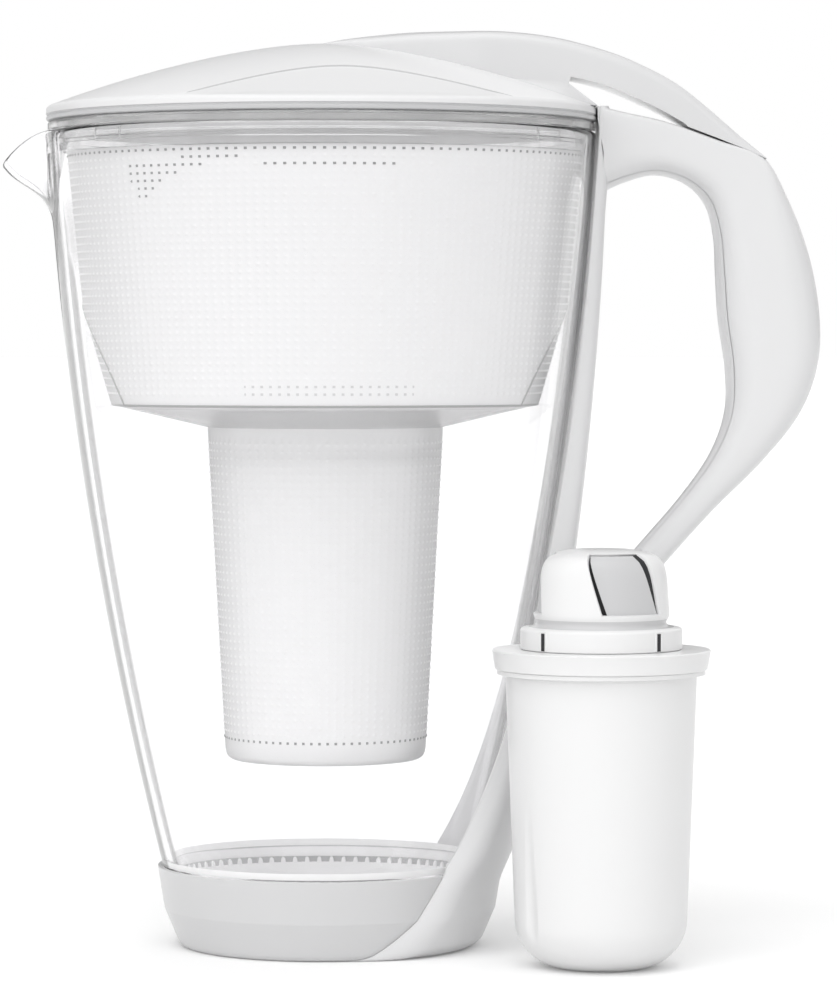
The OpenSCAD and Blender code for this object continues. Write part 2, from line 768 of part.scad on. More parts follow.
module tail_side() {
    polygon(concat(tail_top, [for (i = [len(seam) - 1:-1:3]) seam[i] + [0, seam_gap]], tail_under,
        [[tail_edge_x, tail_edge_z], [tail_full_x, tail_edge_z], [tail_nose_x, apex_z - 4]]));
}

// The flared root of the tail, seen from the side.
module root_side() {
    polygon(concat(root_top, [tail_under[len(tail_under) - 1],
        [tail_edge_x, tail_edge_z], [tail_full_x, tail_edge_z]]));
}

module tail_plan() {
    polygon([[tail_nose_x - 1, -tail_nose_w], [tail_full_x, -tail_half_w], [tail_end_x, -tail_half_w],
        [tail_end_x, tail_half_w], [tail_full_x, tail_half_w], [tail_nose_x - 1, tail_nose_w]]);
}

module root_plan() {
    polygon([[tail_full_x, -tail_half_w], [tail_edge_x + 3, -root_half_w], [tail_edge_x + 3, root_half_w],
        [tail_full_x, tail_half_w]]);
}

// A side view, in x and z, drawn out across the whole pitcher.
module across() {
    translate([0, beyond / 2, 0]) rotate([90, 0, 0]) linear_extrude(height = beyond) children();
}

module lid_tail() {
    color("whitesmoke")
        difference() {
            union() {
                difference() {
                    union() {
                        intersection() {
                            across() tail_side();
                            linear_extrude(height = beyond * 2) tail_plan();
                        }
                        intersection() {
                            across() root_side();
                            linear_extrude(height = beyond * 2) root_plan();
                        }
                    }
                    dome_solid(touch);
                    // Room for the handle's knuckles on both sides.
                    difference() {
                        hinge_cylinder(relief_r, 2 * tail_half_w);
                        hinge_cylinder(relief_r + 1, knuckle_half_w);
                    }
                }
                hinge_cylinder(knuckle_r, knuckle_half_w);
            }
            hinge_cylinder(pin_r + pin_clear, hinge_half_w);
            for (x = tail_screw_x)
                translate([x, 0, tail_screw_z(x)])
                    cylinder(r = screw_r + touch / 2, h = tail_screw_len + bore_spare);
        }
}

module lid_ring() {
    color("gainsboro")
        rotate_extrude()
            polygon([[ring_r - ring_wall, lid_z - ring_depth], [ring_r, lid_z - ring_depth],
                [ring_r, dome(ring_r) - lid_wall - touch],
                [ring_r - ring_wall, dome(ring_r) - lid_wall - touch]]);
}

module lid_seal() {
    color("silver")
        rotate_extrude()
            polygon([[ring_r + touch, lid_z + seal_step], [ring_r + lid_seal_w, lid_z + seal_step],
                [ring_r + lid_seal_w, lid_z + lid_seal_h], [ring_r + touch, lid_z + lid_seal_h]]);
}

module tail_screws() {
    color("silver")
        for (x = tail_screw_x)
            translate([x, 0, tail_screw_z(x)])
                union() {
                    cylinder(r = screw_head_r, h = screw_head_h);
                    cylinder(r = screw_r, h = tail_screw_len);
                }
}

module at_cartridge() {
    translate([cartridge_away * cos(cartridge_turn), -cartridge_away * sin(cartridge_turn), 0]) children();
}

// The cup's hollow: its floor, its side and the neck under the slotted ring.
module cup_hollow() {
    levels = [for (z = body_levels) if (z > cup_floor_h && z < flange_z - 1) z];
    rotate_extrude()
        polygon(concat([[0, body_wall], [cup_body_out(cup_floor_h) - body_wall, body_wall]],
            [for (z = levels) [cup_body_out(z) - body_wall, z]],
            [[cup_body_out(flange_z) - body_wall, flange_z - 1], [neck_r, flange_z],
                [neck_r, flange_top + 1], [0, flange_top + 1]]));
}

module cartridge_cup() {
    color("white")
        at_cartridge()
            difference() {
                rotate_extrude()
                    polygon(concat([[0, 0]], [for (z = body_levels) [cup_body_out(z), z]],
                        [[rim_flange_r - flange_chamfer, flange_z], [rim_flange_r, flange_z + flange_chamfer],
                            [rim_flange_r, flange_top - flange_chamfer],
                            [rim_flange_r - flange_chamfer, flange_top], [0, flange_top]]));
                cup_hollow();
                // The flute up the cup's side.
                rotate([0, 0, flute_turn])
                    translate([body_low_r + flute_r - flute_depth, 0, -1])
                        rotate([0, flute_lean, 0])
                            cylinder(r = flute_r, h = flute_h);
            }
}

// The cap's outer form: slotted ring, waist and rounded dome.
module cap_solid() {
    rotate_extrude()
        polygon(concat([[0, flange_top + touch], [slot_ring_r, flange_top + touch],
                [slot_ring_r, cap_z - flange_chamfer], [slot_ring_r - flange_chamfer, cap_z],
                [cap_r - waist_in, cap_z + touch], [cap_r - waist_in, cap_z + waist_h],
                [cap_r, cap_z + waist_h + waist_in]],
            [for (a = [0:15:90]) [cap_r - cap_round * (1 - cos(a)), cartridge_h - cap_round * (1 - sin(a))]],
            [[0, cartridge_h]]));
}

module cap_hollow() {
    wall_r = cap_r - cap_wall;
    inner_round = cap_round - 1;
    inner_top = cartridge_h - cap_wall;
    rotate_extrude()
        polygon(concat([[0, flange_top - 1], [wall_r - waist_in, flange_top - 1],
                [wall_r - waist_in, inner_top - inner_round]],
            [for (a = [15:15:90]) [wall_r - waist_in - inner_round * (1 - cos(a)),
                inner_top - inner_round * (1 - sin(a))]],
            [[0, inner_top]]));
}

module cartridge_cap() {
    color("white")
        at_cartridge()
            difference() {
                cap_solid();
                cap_hollow();
                for (i = [0:window_count - 1])
                    rotate([0, 0, window_turn + i * 360 / window_count])
                        translate([0, -window_w / 2, window_low])
                            cube([beyond, window_w, window_high - window_low]);
                for (i = [0:slot_count - 1])
                    rotate([0, 0, window_turn + slot_turn + i * 360 / slot_count])
                        translate([slot_ring_r - slot_deep, -slot_w / 2, flange_top + slot_w])
                            cube([beyond, slot_w, slot_ring_h - 2 * slot_w]);
            }
}

module inlet_windows() {
    window_h = window_high - window_low - 2 * touch;
    color("darkgray")
        at_cartridge()
            for (i = [0:window_count - 1])
                rotate([0, 0, window_turn + i * 360 / window_count])
                    intersection() {
                        translate([0, 0, window_low + touch])
                            difference() {
                                cylinder(r = cap_r - window_deep + window_t, h = window_h);
                                translate([0, 0, -1]) cylinder(r = cap_r - window_deep, h = window_h + 2);
                            }
                        translate([0, -window_w / 2 + touch, 0])
                            cube([beyond, window_w - 2 * touch, beyond]);
                    }
}

module cartridge_seal() {
    color("lightgray")
        at_cartridge()
            translate([0, 0, flange_z - touch - flange_seal_t])
                difference() {
                    cylinder(r = rim_flange_r - flange_seal_in, h = flange_seal_t);
                    translate([0, 0, -1]) cylinder(r = body_top_r + touch, h = flange_seal_t + 2);
                }
}

// Radius of what fills the cup at height z, and a disc that fills it there.
function fill_r(z) = cup_body_out(z) - body_wall - touch;

module cup_fill(z, h) {
    at_cartridge()
        translate([0, 0, z])
            cylinder(r1 = fill_r(z), r2 = fill_r(z + h), h = h);
}

module outlet_screen() {
    color("gray")
        at_cartridge()
            translate([0, 0, body_wall + touch])
                cylinder(r = fill_r(cup_floor_h), h = screen_t);
}

module lower_fleece() {
    color("ivory") cup_fill(body_wall + screen_t + 2 * touch, fleece_t);
}

module filter_media() {
    levels = [for (z = body_levels) if (z > media_low && z < media_high) z];
    color("dimgray")
        at_cartridge()
            rotate_extrude()
                polygon(concat([[0, media_low], [fill_r(media_low), media_low]],
                    [for (z = levels) [fill_r(z), z]],
                    [[fill_r(media_high), media_high], [0, media_high]]));
}

module upper_fleece() {
    color("ivory") cup_fill(media_high + touch, fleece_t);
}

glass_jug();
base_cup();
glass_seat_ring();
foot_pad();
handle_spine();
spine_liner();
handle_grip();
grip_cover();
handle_screws();
base_screws();
hopper_rim();
hopper_bowl();
filter_well();
well_seal();
hinge_pin();
lid_shell();
lid_tail();
lid_ring();
lid_seal();
tail_screws();
cartridge_cup();
cartridge_cap();
inlet_windows();
cartridge_seal();
upper_fleece();
filter_media();
lower_fleece();
outlet_screen();
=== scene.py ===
import math

import bmesh
import bpy
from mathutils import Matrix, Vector


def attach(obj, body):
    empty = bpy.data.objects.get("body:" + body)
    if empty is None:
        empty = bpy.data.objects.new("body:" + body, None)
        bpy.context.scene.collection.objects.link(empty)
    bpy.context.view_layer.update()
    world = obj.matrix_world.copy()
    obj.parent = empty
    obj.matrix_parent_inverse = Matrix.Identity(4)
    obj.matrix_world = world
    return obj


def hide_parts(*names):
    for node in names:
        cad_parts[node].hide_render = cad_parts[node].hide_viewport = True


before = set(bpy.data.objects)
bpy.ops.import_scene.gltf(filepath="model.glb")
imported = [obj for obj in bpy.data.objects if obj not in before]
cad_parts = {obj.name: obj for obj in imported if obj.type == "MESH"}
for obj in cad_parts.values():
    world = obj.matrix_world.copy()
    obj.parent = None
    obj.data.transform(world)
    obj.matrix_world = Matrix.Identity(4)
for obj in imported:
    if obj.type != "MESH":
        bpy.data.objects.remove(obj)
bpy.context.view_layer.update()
scene = bpy.context.scene
print("frame loaded")

# Lengths in this script are millimetres; makePiece turns them into metres.
mm = 0.001
# Points and edges shorter than these, in metres, are closed up.
samePoint, sameEdge = 1e-6, 1e-7


def lerp(a, b, t):
    return a + (b - a) * t


def clamp(t):
    return min(1.0, max(0.0, t))


def ease(t):
    t = clamp(t)
    return t * t * (3 - 2 * t)


def spread(a, b, n):
    return [lerp(a, b, i / n) for i in range(n + 1)]


def arc(start, stop, step):
    return [math.radians(a) for a in range(start, stop, step)]


def polar(r, a, z, cx=0, cy=0):
    return (cx + r * math.cos(a), cy + r * math.sin(a), z)


def heightAt(points, x):
    ordered = sorted(points)
    if x <= ordered[0][0]:
        return ordered[0][1]
    for (x0, z0), (x1, z1) in zip(ordered, ordered[1:]):
        if x <= x1:
            return lerp(z0, z1, (x - x0) / max(1e-6, x1 - x0))
    return ordered[-1][1]


def smoothPath(points, steps):
    path = []
    last = len(points) - 1
    for i in range(last):
        p0, p1 = points[max(0, i - 1)], points[i]
        p2, p3 = points[i + 1], points[min(last, i + 2)]
        for k in range(steps):
            t = k / steps
            path.append(tuple(
                b + 0.5 * t * (c - a + t * (2 * a - 5 * b + 4 * c - d + t * (3 * (b - c) + d - a)))
                for a, b, c, d in zip(p0, p1, p2, p3)))
    path.append(tuple(points[last]))
    return path


def along(path, t):
    lengths = [math.dist(a, b) for a, b in zip(path, path[1:])]
    goal = clamp(t) * sum(lengths)
    for a, b, length in zip(path, path[1:], lengths):
        if goal <= length:
            return tuple(lerp(u, v, goal / max(1e-9, length)) for u, v in zip(a, b))
        goal -= length
    return tuple(path[-1])


def roundIn(h, c):
    # How far a rounded foot of radius c draws in at height h.
    return c * (1 - math.sqrt(max(0, 1 - ((c - h) / c) ** 2))) if h < c else 0


def overTop(w, c, high, middle):
    # The upper side of a section as (side, height): a rounded edge, the middle and the other edge.
    left = [(-w + c - c * math.cos(a), high - c + c * math.sin(a)) for a in arc(0, 91, 15)]
    right = [(w - c + c * math.cos(a), high - c + c * math.sin(a)) for a in arc(90, -1, -15)]
    return left + middle + right


def skin(rows, closeRows=False, closeCols=True, capEnds=False):
    cols = len(rows[0])
    points = [p for row in rows for p in row]
    faces = []
    for i in range(len(rows) if closeRows else len(rows) - 1):
        j = (i + 1) % len(rows)
        for k in range(cols if closeCols else cols - 1):
            n = (k + 1) % cols
            faces.append((i * cols + k, i * cols + n, j * cols + n, j * cols + k))
    if capEnds:
        faces.append(tuple(range(cols)))
        faces.append(tuple((len(rows) - 1) * cols + k for k in range(cols)))
    return points, faces


def makePiece(name, shape, body, material, replaces=(), crisp=38, more=(), pick=None, flip=False):
    points, faces = shape
    mesh = bpy.data.meshes.new(name)
    mesh.from_pydata([(x * mm, y * mm, z * mm) for x, y, z in points], [], faces)
    mesh.materials.append(material)
    for extra in more:
        mesh.materials.append(extra)
    if pick is not None:
        for polygon in mesh.polygons:
            polygon.material_index = pick(polygon.index)
    work = bmesh.new()
    work.from_mesh(mesh)
    bmesh.ops.remove_doubles(work, verts=work.verts, dist=samePoint)
    bmesh.ops.dissolve_degenerate(work, edges=work.edges, dist=sameEdge)
    bmesh.ops.recalc_face_normals(work, faces=work.faces)
    if flip:
        bmesh.ops.reverse_faces(work, faces=work.faces)
    work.to_mesh(mesh)
    work.free()
    for polygon in mesh.polygons:
        polygon.use_smooth = True
    mesh.set_sharp_from_angle(angle=math.radians(crisp))
    piece = bpy.data.objects.new(name, mesh)
    scene.collection.objects.link(piece)
    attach(piece, body)
    if replaces:
        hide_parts(*replaces)
    return piece


def turned(profile, turns=160, closed=True):
    rows = [[polar(r, 2 * math.pi * i / turns, z) for r, z in profile] for i in range(turns)]
    return skin(rows, closeRows=True, closeCols=closed)


def joined(*shapes):
    points, faces = [], []
    for morePoints, moreFaces in shapes:
        start = len(points)
        points.extend(morePoints)
        faces.extend(tuple(start + i for i in face) for face in moreFaces)
    return points, faces


def tube(path, radius, sides=8, closed=True):
    rows = []
    count = len(path)
    for i in range(count):
        before, after = Vector(path[(i - 1) % count]), Vector(path[(i + 1) % count])
        here = Vector(path[i])
        ahead = (after - before).normalized()
        out = Vector((here.x, here.y, 0)).normalized()
        side = ahead.cross(out).normalized()
        out = side.cross(ahead).normalized()
        rows.append([tuple(here + (out * math.cos(a) + side * math.sin(a)) * radius)
                     for a in (2 * math.pi * k / sides for k in range(sides))])
    return skin(rows, closeRows=closed)


def setInputs(node, **values):
    for label, value in values.items():
        node.inputs[label].default_value = value


grain = {"scale": 400, "slowScale": 14, "low": 0.3, "high": 0.7, "depth": 0.0002}


def makeMouldGrain():
    group = bpy.data.node_groups.new("mouldGrain", "ShaderNodeTree")
    colour, value, vector = "NodeSocketColor", "NodeSocketFloat", "NodeSocketVector"
    for label, kind in (("Light", colour), ("Dark", colour), ("Scale", value), ("Smooth", value),
                        ("Rough", value), ("Relief", value)):
        group.interface.new_socket(name=label, in_out="INPUT", socket_type=kind)
    for label, kind in (("Color", colour), ("Roughness", value), ("Normal", vector)):
        group.interface.new_socket(name=label, in_out="OUTPUT", socket_type=kind)
    nodes, links = group.nodes, group.links
    given, out = nodes.new("NodeGroupInput"), nodes.new("NodeGroupOutput")
    place = nodes.new("ShaderNodeTexCoord")
    slow = nodes.new("ShaderNodeTexNoise")
    setInputs(slow, Scale=grain["slowScale"])
    fine = nodes.new("ShaderNodeTexNoise")
    links.new(place.outputs["Object"], slow.inputs["Vector"])
    links.new(place.outputs["Object"], fine.inputs["Vector"])
    links.new(given.outputs["Scale"], fine.inputs["Scale"])
    tone = nodes.new("ShaderNodeMix")
    tone.data_type = "RGBA"
    links.new(slow.outputs["Fac"], tone.inputs["Factor"])
    links.new(given.outputs["Light"], tone.inputs["A"])
    links.new(given.outputs["Dark"], tone.inputs["B"])
    gloss = nodes.new("ShaderNodeMapRange")
    setInputs(gloss, **{"From Min": grain["low"], "From Max": grain["high"]})
    links.new(fine.outputs["Fac"], gloss.inputs["Value"])
    links.new(given.outputs["Smooth"], gloss.inputs["To Min"])
    links.new(given.outputs["Rough"], gloss.inputs["To Max"])
    bump = nodes.new("ShaderNodeBump")
    setInputs(bump, Distance=grain["depth"])
    links.new(given.outputs["Relief"], bump.inputs["Strength"])
    links.new(fine.outputs["Fac"], bump.inputs["Height"])
    links.new(tone.outputs["Result"], out.inputs["Color"])
    links.new(gloss.outputs["Result"], out.inputs["Roughness"])
    links.new(bump.outputs["Normal"], out.inputs["Normal"])
    return group


mouldGrain = makeMouldGrain()


def newMaterial(name):
    material = bpy.data.materials.new(name)
    material.use_nodes = True
    tree = material.node_tree
    return material, tree.nodes, tree.links, tree.nodes["Principled BSDF"]


def makePlastic(name, look):
    material, nodes, links, shader = newMaterial(name)
    group = nodes.new("ShaderNodeGroup")
    group.node_tree = mouldGrain
    smooth, rough = look["gloss"]
    setInputs(group, Light=(*look["light"], 1), Dark=(*look["dark"], 1), Scale=look.get("scale", grain["scale"]),
              Smooth=smooth, Rough=rough, Relief=look.get("relief", 0.002))
    links.new(group.outputs["Color"], shader.inputs["Base Color"])
    links.new(group.outputs["Roughness"], shader.inputs["Roughness"])
    links.new(group.outputs["Normal"], shader.inputs["Normal"])
    setInputs(shader, **{"IOR": 1.46, "Metallic": look.get("metallic", 0),
                         "Specular IOR Level": look.get("level", 0.5),
                         "Coat Weight": look.get("coat", 0), "Coat Roughness": 0.12})
    return material


def makeClear(name, look):
    material, nodes, links, shader = newMaterial(name)
    edge = nodes.new("ShaderNodeLayerWeight")
    setInputs(edge, Blend=0.5)
    ramp = nodes.new("ShaderNodeValToRGB")
    stops = ramp.color_ramp.elements
    stops.new(0.5)
    for stop, (position, tone) in zip(stops, look["stops"]):
        stop.position = position
        stop.color = (*(min(1, tone * share) for share in look.get("tint", coolTint)), 1)
    links.new(edge.outputs["Facing"], ramp.inputs["Fac"])
    links.new(ramp.outputs["Color"], shader.inputs["Base Color"])
    noise = nodes.new("ShaderNodeTexNoise")
    setInputs(noise, Scale=30)
    gloss = nodes.new("ShaderNodeMapRange")
    smooth, rough = look.get("gloss", frosting)
    setInputs(gloss, **{"To Min": smooth, "To Max": rough})
    links.new(noise.outputs["Fac"], gloss.inputs["Value"])
    links.new(gloss.outputs["Result"], shader.inputs["Roughness"])
    setInputs(shader, **{"Transmission Weight": look.get("clear", 1), "IOR": look["ior"]})
    return material


def grey(level, blue=0.005):
    return (level, level, level + blue)


satin, matt = (0.3, 0.33), (0.5, 0.6)
looks = {
    "lid": {"light": grey(0.805), "dark": grey(0.795), "gloss": satin, "level": 0.3},
    # The handle's grey; on the inward walls of the cartridge's windows it is painted shade.
    "handle": {"light": grey(0.7), "dark": grey(0.69), "gloss": satin, "level": 0.4},
    # The tail is the lid's white plastic made darker: painted shade on its sides.
    "tail": {"light": grey(0.645), "dark": grey(0.635), "gloss": satin, "level": 0.4},
    # The cup's grey; on the cartridge cap's groove it is painted shade.
    "base": {"light": grey(0.62), "dark": grey(0.61), "gloss": satin, "coat": 0.3},
    # A paler, half-metal copy of the tail plastic: painted light that lifts the tail's underside out of its shade.
    "paintedUnderLight": {"light": grey(0.97, 0), "dark": grey(0.95, 0), "gloss": satin, "metallic": 0.5},
    "cartridge": {"light": grey(0.79, 0), "dark": grey(0.78, 0.002), "gloss": satin, "level": 0.4},
    # A darker copy of the lid plastic for its flat facets and outer edge: painted shade.
    "facet": {"light": grey(0.74), "dark": grey(0.73), "gloss": (0.32, 0.35), "level": 0.25},
    # The window screens' own grey; on the lid's upright rim it is painted shade under the lid's edge.
    "panelAndRimShade": {"light": grey(0.56), "dark": grey(0.53, 0.01), "gloss": (0.4, 0.5)},
    # Near-black: painted shade in the cartridge's window slits and ring slots.
    "blackShade": {"light": grey(0.02, 0.002), "dark": grey(0.03, 0.003), "gloss": matt},
    "mesh": {"light": grey(0.42, 0.01), "dark": grey(0.33, 0.01), "gloss": (0.35, 0.5)},
    "seal": {"light": grey(0.78), "dark": grey(0.72, 0.01), "gloss": matt, "relief": 0.05},
    # Darker grey: painted shade along the lid's facet creases and in the band behind the cup's ribs.
    "groove": {"light": grey(0.5), "dark": grey(0.45), "gloss": matt},
    # Pale grey: the seals' own colour and the ribs' tone; also painted light inside the cup and in the strip above
    # it.
    "paleSealAndPaintedLight": {"light": grey(0.93, 0), "dark": grey(0.91, 0), "gloss": matt, "relief": 0.05},
    "rubber": {"light": grey(0.36, 0.01), "dark": grey(0.3, 0.01), "gloss": (0.6, 0.8), "relief": 0.3},
    "steel": {"light": grey(0.62, 0.01), "dark": grey(0.5, 0.02), "gloss": (0.2, 0.35), "metallic": 1},
    "fleece": {"light": (0.8, 0.79, 0.76), "dark": (0.68, 0.67, 0.64), "gloss": (0.85, 1), "scale": 900,
               "relief": 1},
    "granulate": {"light": (0.05, 0.05, 0.055), "dark": (0.4, 0.39, 0.36), "gloss": (0.7, 1), "scale": 1100,
                  "relief": 1},
}
plastics = {name: makePlastic(name, look) for name, look in looks.items()}

# Clear pieces: each stop is how far a face turns away and the tone it then lets through; the dark tones near the
# grazing end are painted shade, drawing dark edges on the glass and darker sides on the frosted pieces.
coolTint, blueTint, frosting, polish = (1, 1, 1.002), (1, 1, 1.004), (0.3, 0.34), (0.0, 0.004)
clearLooks = {
    "glass": {"stops": [(0.73, 0.995), (0.78, 0.1), (1, 0.02)], "tint": (1, 0.997, 1.004), "gloss": polish,
              "ior": 1.46},
    "edgeGlass": {"stops": [(0.73, 0.995), (0.82, 0.62), (1, 0.4)], "tint": (1, 0.998, 1.002),
                  "gloss": polish, "ior": 1.46},
    "collar": {"stops": [(0.45, 0.98), (0.8, 0.86), (1, 0.4)], "gloss": (0.02, 0.05), "ior": 1.42,
               "clear": 0.8},
    "frosted": {"stops": [(0.3, 0.945), (0.7, 0.77), (1, 0.48)], "ior": 1.3, "clear": 0.34},
    "dot": {"stops": [(0.3, 0.965), (0.7, 0.97), (1, 0.9)], "ior": 1.35, "clear": 0.2},
    # Near-black dots: painted shade on the hopper's dark dot rows.
    "darkDot": {"stops": [(0.2, 0.3), (0.7, 0.26), (1, 0.22)], "tint": (1, 1, 1.01), "ior": 1.3, "clear": 0.5},
    "faintDot": {"stops": [(0.2, 0.7), (0.7, 0.66), (1, 0.6)], "tint": blueTint, "ior": 1.3, "clear": 0.3},
    # Dark grey for the thin tubes that paint shade lines along the bowl's creases.
    "crease": {"stops": [(0.2, 0.42), (0.7, 0.4), (1, 0.36)], "tint": blueTint, "ior": 1.3, "clear": 0.3},
    "lining": {"stops": [(0.5, 0.99), (0.8, 0.96), (1, 0.85)], "ior": 1.15, "clear": 0.95},
}
clears = {name: makeClear(name, look) for name, look in clearLooks.items()}
print("materials made")

jug = {
    "rimZ": 236, "rimR": 79.6, "footR": 46.9, "footZ": 25, "bulge": 5.1, "wall": 3, "lowZ": 6.6, "floorZ": 12.6,
    "corner": 16, "rimRound": 1.4, "bead": 1.35, "spoutFrom": 200, "spoutWall": 2.2, "spoutTurn": 15.5,
    "spoutFall": 1.7, "spoutStart": [(200, 0), (207, 0), (212, 0.4)],
    "spoutLip": [(80.6, 216.2), (83.6, 218.9), (87.2, 221.2), (90.2, 223.4), (92.1, 225.4)],
    "step": 2.0, "fineStep": 0.8, "fineFrom": 160, "fineTo": 200, "handleSide": 27,
}


def jugR(z):
    u = (z - jug["footZ"]) / (jug["rimZ"] - jug["footZ"])
    return lerp(jug["footR"], jug["rimR"], u) + 4 * jug["bulge"] * u * (1 - u)


def makeJug():
    wall, low, floor, outer = jug["wall"], jug["lowZ"], jug["floorZ"], jug["corner"]
    inner = outer - wall
    spoutPath = smoothPath([(jugR(z) + out, z) for z, out in jug["spoutStart"]] + jug["spoutLip"], 8)
    rise = spread(0, 1, 22)
    baseTop = [(jugR(z), z) for z in (lerp(jug["spoutFrom"], jug["rimZ"] - jug["rimRound"], s) for s in rise)]
    spoutTop = [along(spoutPath, s) for s in rise]

    def side(footZ, corner, inset):
        # The bottom with its rounded corner, and the plain side up to where the spout begins.
        lows = [footZ + corner * (1 - math.cos(a)) for a in arc(0, 91, 6)]
        foot = [(0, footZ)] + [(jugR(z) - inset - roundIn(z - footZ, corner), z) for z in lows]
        return foot + [(jugR(z) - inset, z) for z in spread(footZ + corner, jug["spoutFrom"], 26)[1:-1]]

    outside, inside = side(low, outer, 0), side(floor, inner, wall)
    coarse = [i * jug["step"] for i in range(round(jug["fineFrom"] / jug["step"]))]
    fine = round((jug["fineTo"] - jug["fineFrom"]) / jug["fineStep"])
    turns = coarse + [jug["fineFrom"] + i * jug["fineStep"] for i in range(fine)]
    turns += [jug["fineTo"] + turn for turn in coarse]

    def weight(turn):
        t = (turn - 180) / jug["spoutTurn"]
        return math.cos(math.pi / 2 * t) ** 2 if abs(t) < 1 else 0

    def place(r, z, turn):
        return Vector(polar(r, math.radians(turn), z))

    def outerTop(i, turn):
        k = weight(turn)
        fall = lerp(k, k ** jug["spoutFall"], (i / (len(rise) - 1)) ** 2)
        return place(lerp(baseTop[i][0], spoutTop[i][0], k), lerp(baseTop[i][1], spoutTop[i][1], fall), turn)

    rows = []
    nudge = 0.4
    for turn in turns:
        k = weight(turn)
        thick = lerp(wall, jug["spoutWall"], k)
        row = [place(r, z, turn) for r, z in outside]
        outers, inners = [], []
        for i in range(len(rise)):
            p = outerTop(i, turn)
            up = outerTop(min(i + 1, len(rise) - 1), turn) - outerTop(max(i - 1, 0), turn)
            across = outerTop(i, turn + nudge) - outerTop(i, turn - nudge)
            out = place(1, 0, turn) if k == 0 else across.cross(up).normalized()
            outers.append(p)
            inners.append(p - out * thick)
        up = (outers[-1] - outers[-2]).normalized()
        middle = (outers[-1] + inners[-1]) / 2
        half = (outers[-1] - inners[-1]) / 2
        bead = [middle + half * math.cos(a) + up * jug["bead"] * math.sin(a) for a in arc(20, 180, 20)]
        row += outers + bead + inners[::-1]
        row += [place(r, z, turn) for r, z in inside[::-1]]
        rows.append([tuple(p) for p in row])
    cols = len(rows[0]) - 1
    piece = makePiece("jugGlass", skin(rows, closeRows=True, closeCols=False), "pitcher", clears["glass"],
                      ("glass_jug",), crisp=60, more=(clears["edgeGlass"],),
                      pick=lambda i: int(abs((turns[i // cols] + 180) % 360 - 180) < jug["handleSide"]))
    piece.visible_shadow = False
    piece.visible_diffuse = False


makeJug()
print("jug made")

cup = {
    "topZ": 23.4, "topR": 48, "breakZ": 11, "breakR": 46, "footZ": 1, "footR": 41.8, "edgeZ": 0.15, "round": 1.6,
    "wall": 1.5, "floorTop": 3.2, "floorEdge": 6, "padR": 36.1, "padTop": 1.6,
    "sideZ": [3, 5, 7, 9, 10.6, 10.85, 11.15, 11.4, 13, 15, 17, 19, 21, 21.7],
    "ribs": 74, "ribR": 45.6, "ribDeep": 0.7, "ribLow": 17.4, "ribHigh": 19.6, "ribTip": 0.5,
    "ribHalf": (0.75, 0.55, 0.25), "film": 0.05, "shadeUnder": 1.8, "shadeOver": 0.2,
    "lightIn": 1.1, "lightLow": 0.4, "lightHigh": 2.3, "lightThick": 0.1,
}


def cupR(z):
    if z < cup["breakZ"]:
        return lerp(cup["footR"], cup["breakR"], clamp((z - cup["footZ"]) / (cup["breakZ"] - cup["footZ"])))
    return lerp(cup["breakR"], cup["topR"], clamp((z - cup["breakZ"]) / (cup["topZ"] - cup["breakZ"])))


def cupOut(z):
    return cupR(z) - roundIn(z - cup["edgeZ"], cup["round"])


def makeBase():
    top, topR, wall, edgeZ = cup["topZ"], cup["topR"], cup["wall"], cup["edgeZ"]
    edge = [(cupOut(z), z) for z in (edgeZ + cup["round"] * (1 - math.cos(a)) for a in arc(0, 91, 10))]
    side = [(cupR(z), z) for z in cup["sideZ"]]
    lip = [(topR - 0.12, top - 0.2), (topR - 0.45, top), (topR - wall + 0.3, top), (topR - wall, top - 0.3)]
    inner = [(cupR(z) - wall, z) for z in spread(top - 1, 7, 6)]
    bottom = [(cupR(cup["floorEdge"]) - wall - 3, cup["floorTop"]), (0, cup["floorTop"])]
    under = [(0, cup["padTop"]), (cup["padR"], cup["padTop"]), (cup["padR"], edgeZ)]
    profile = under + edge + side + lip + inner + bottom
    insideFrom = len(under + edge + side + lip) - 1
    # The cup's inside faces take the pale grey: painted light against the shade inside the cup.
    makePiece("baseCup", turned(profile, 180, closed=False), "pitcher", plastics["base"],
              ("base_cup",), more=(plastics["paleSealAndPaintedLight"],),
              pick=lambda i: int(i % (len(profile) - 1) >= insideFrom))


def makeRibs():
    low, high, film = cup["ribLow"], cup["ribHigh"], cup["film"]
    rIn, rOut = cup["ribR"] - cup["ribDeep"], cup["ribR"]
    shapes = []
    for i in range(cup["ribs"]):
        turn = 2 * math.pi * i / cup["ribs"]
        c, s = math.cos(turn), math.sin(turn)
        rows = []
        for z, half in zip((low, high - cup["ribTip"], high), cup["ribHalf"]):
            rows.append([(r * c - y * s, r * s + y * c, z)
                         for r, y in ((rIn, -half), (rIn, half), (rOut, half), (rOut, -half))])
        shapes.append(skin(rows, capEnds=True))
    makePiece("cupRibs", joined(*shapes), "pitcher", plastics["paleSealAndPaintedLight"], crisp=30)
    # A thin dark film ring behind the ribs: painted shade in the gap between the glass and the cup.
    r, under, over = rOut - film, low - cup["shadeUnder"], high + cup["shadeOver"]
    groove = [(r, under), (r, over), (r + film, over), (r + film, under)]
    makePiece("cupShadeBand", turned(groove), "pitcher", plastics["groove"])
    # A pale strip in the glass just above the cup, where the thick bottom gathers light.
    under, over, thick = cup["topZ"] + cup["lightLow"], cup["topZ"] + cup["lightHigh"], cup["lightThick"]
    strip = [(jugR(z) - cup["lightIn"] + d, z) for z, d in ((under, 0), (over, 0), (over, thick), (under, thick))]
    makePiece("heelLight", turned(strip), "pitcher", plastics["paleSealAndPaintedLight"])


makeBase()
makeRibs()

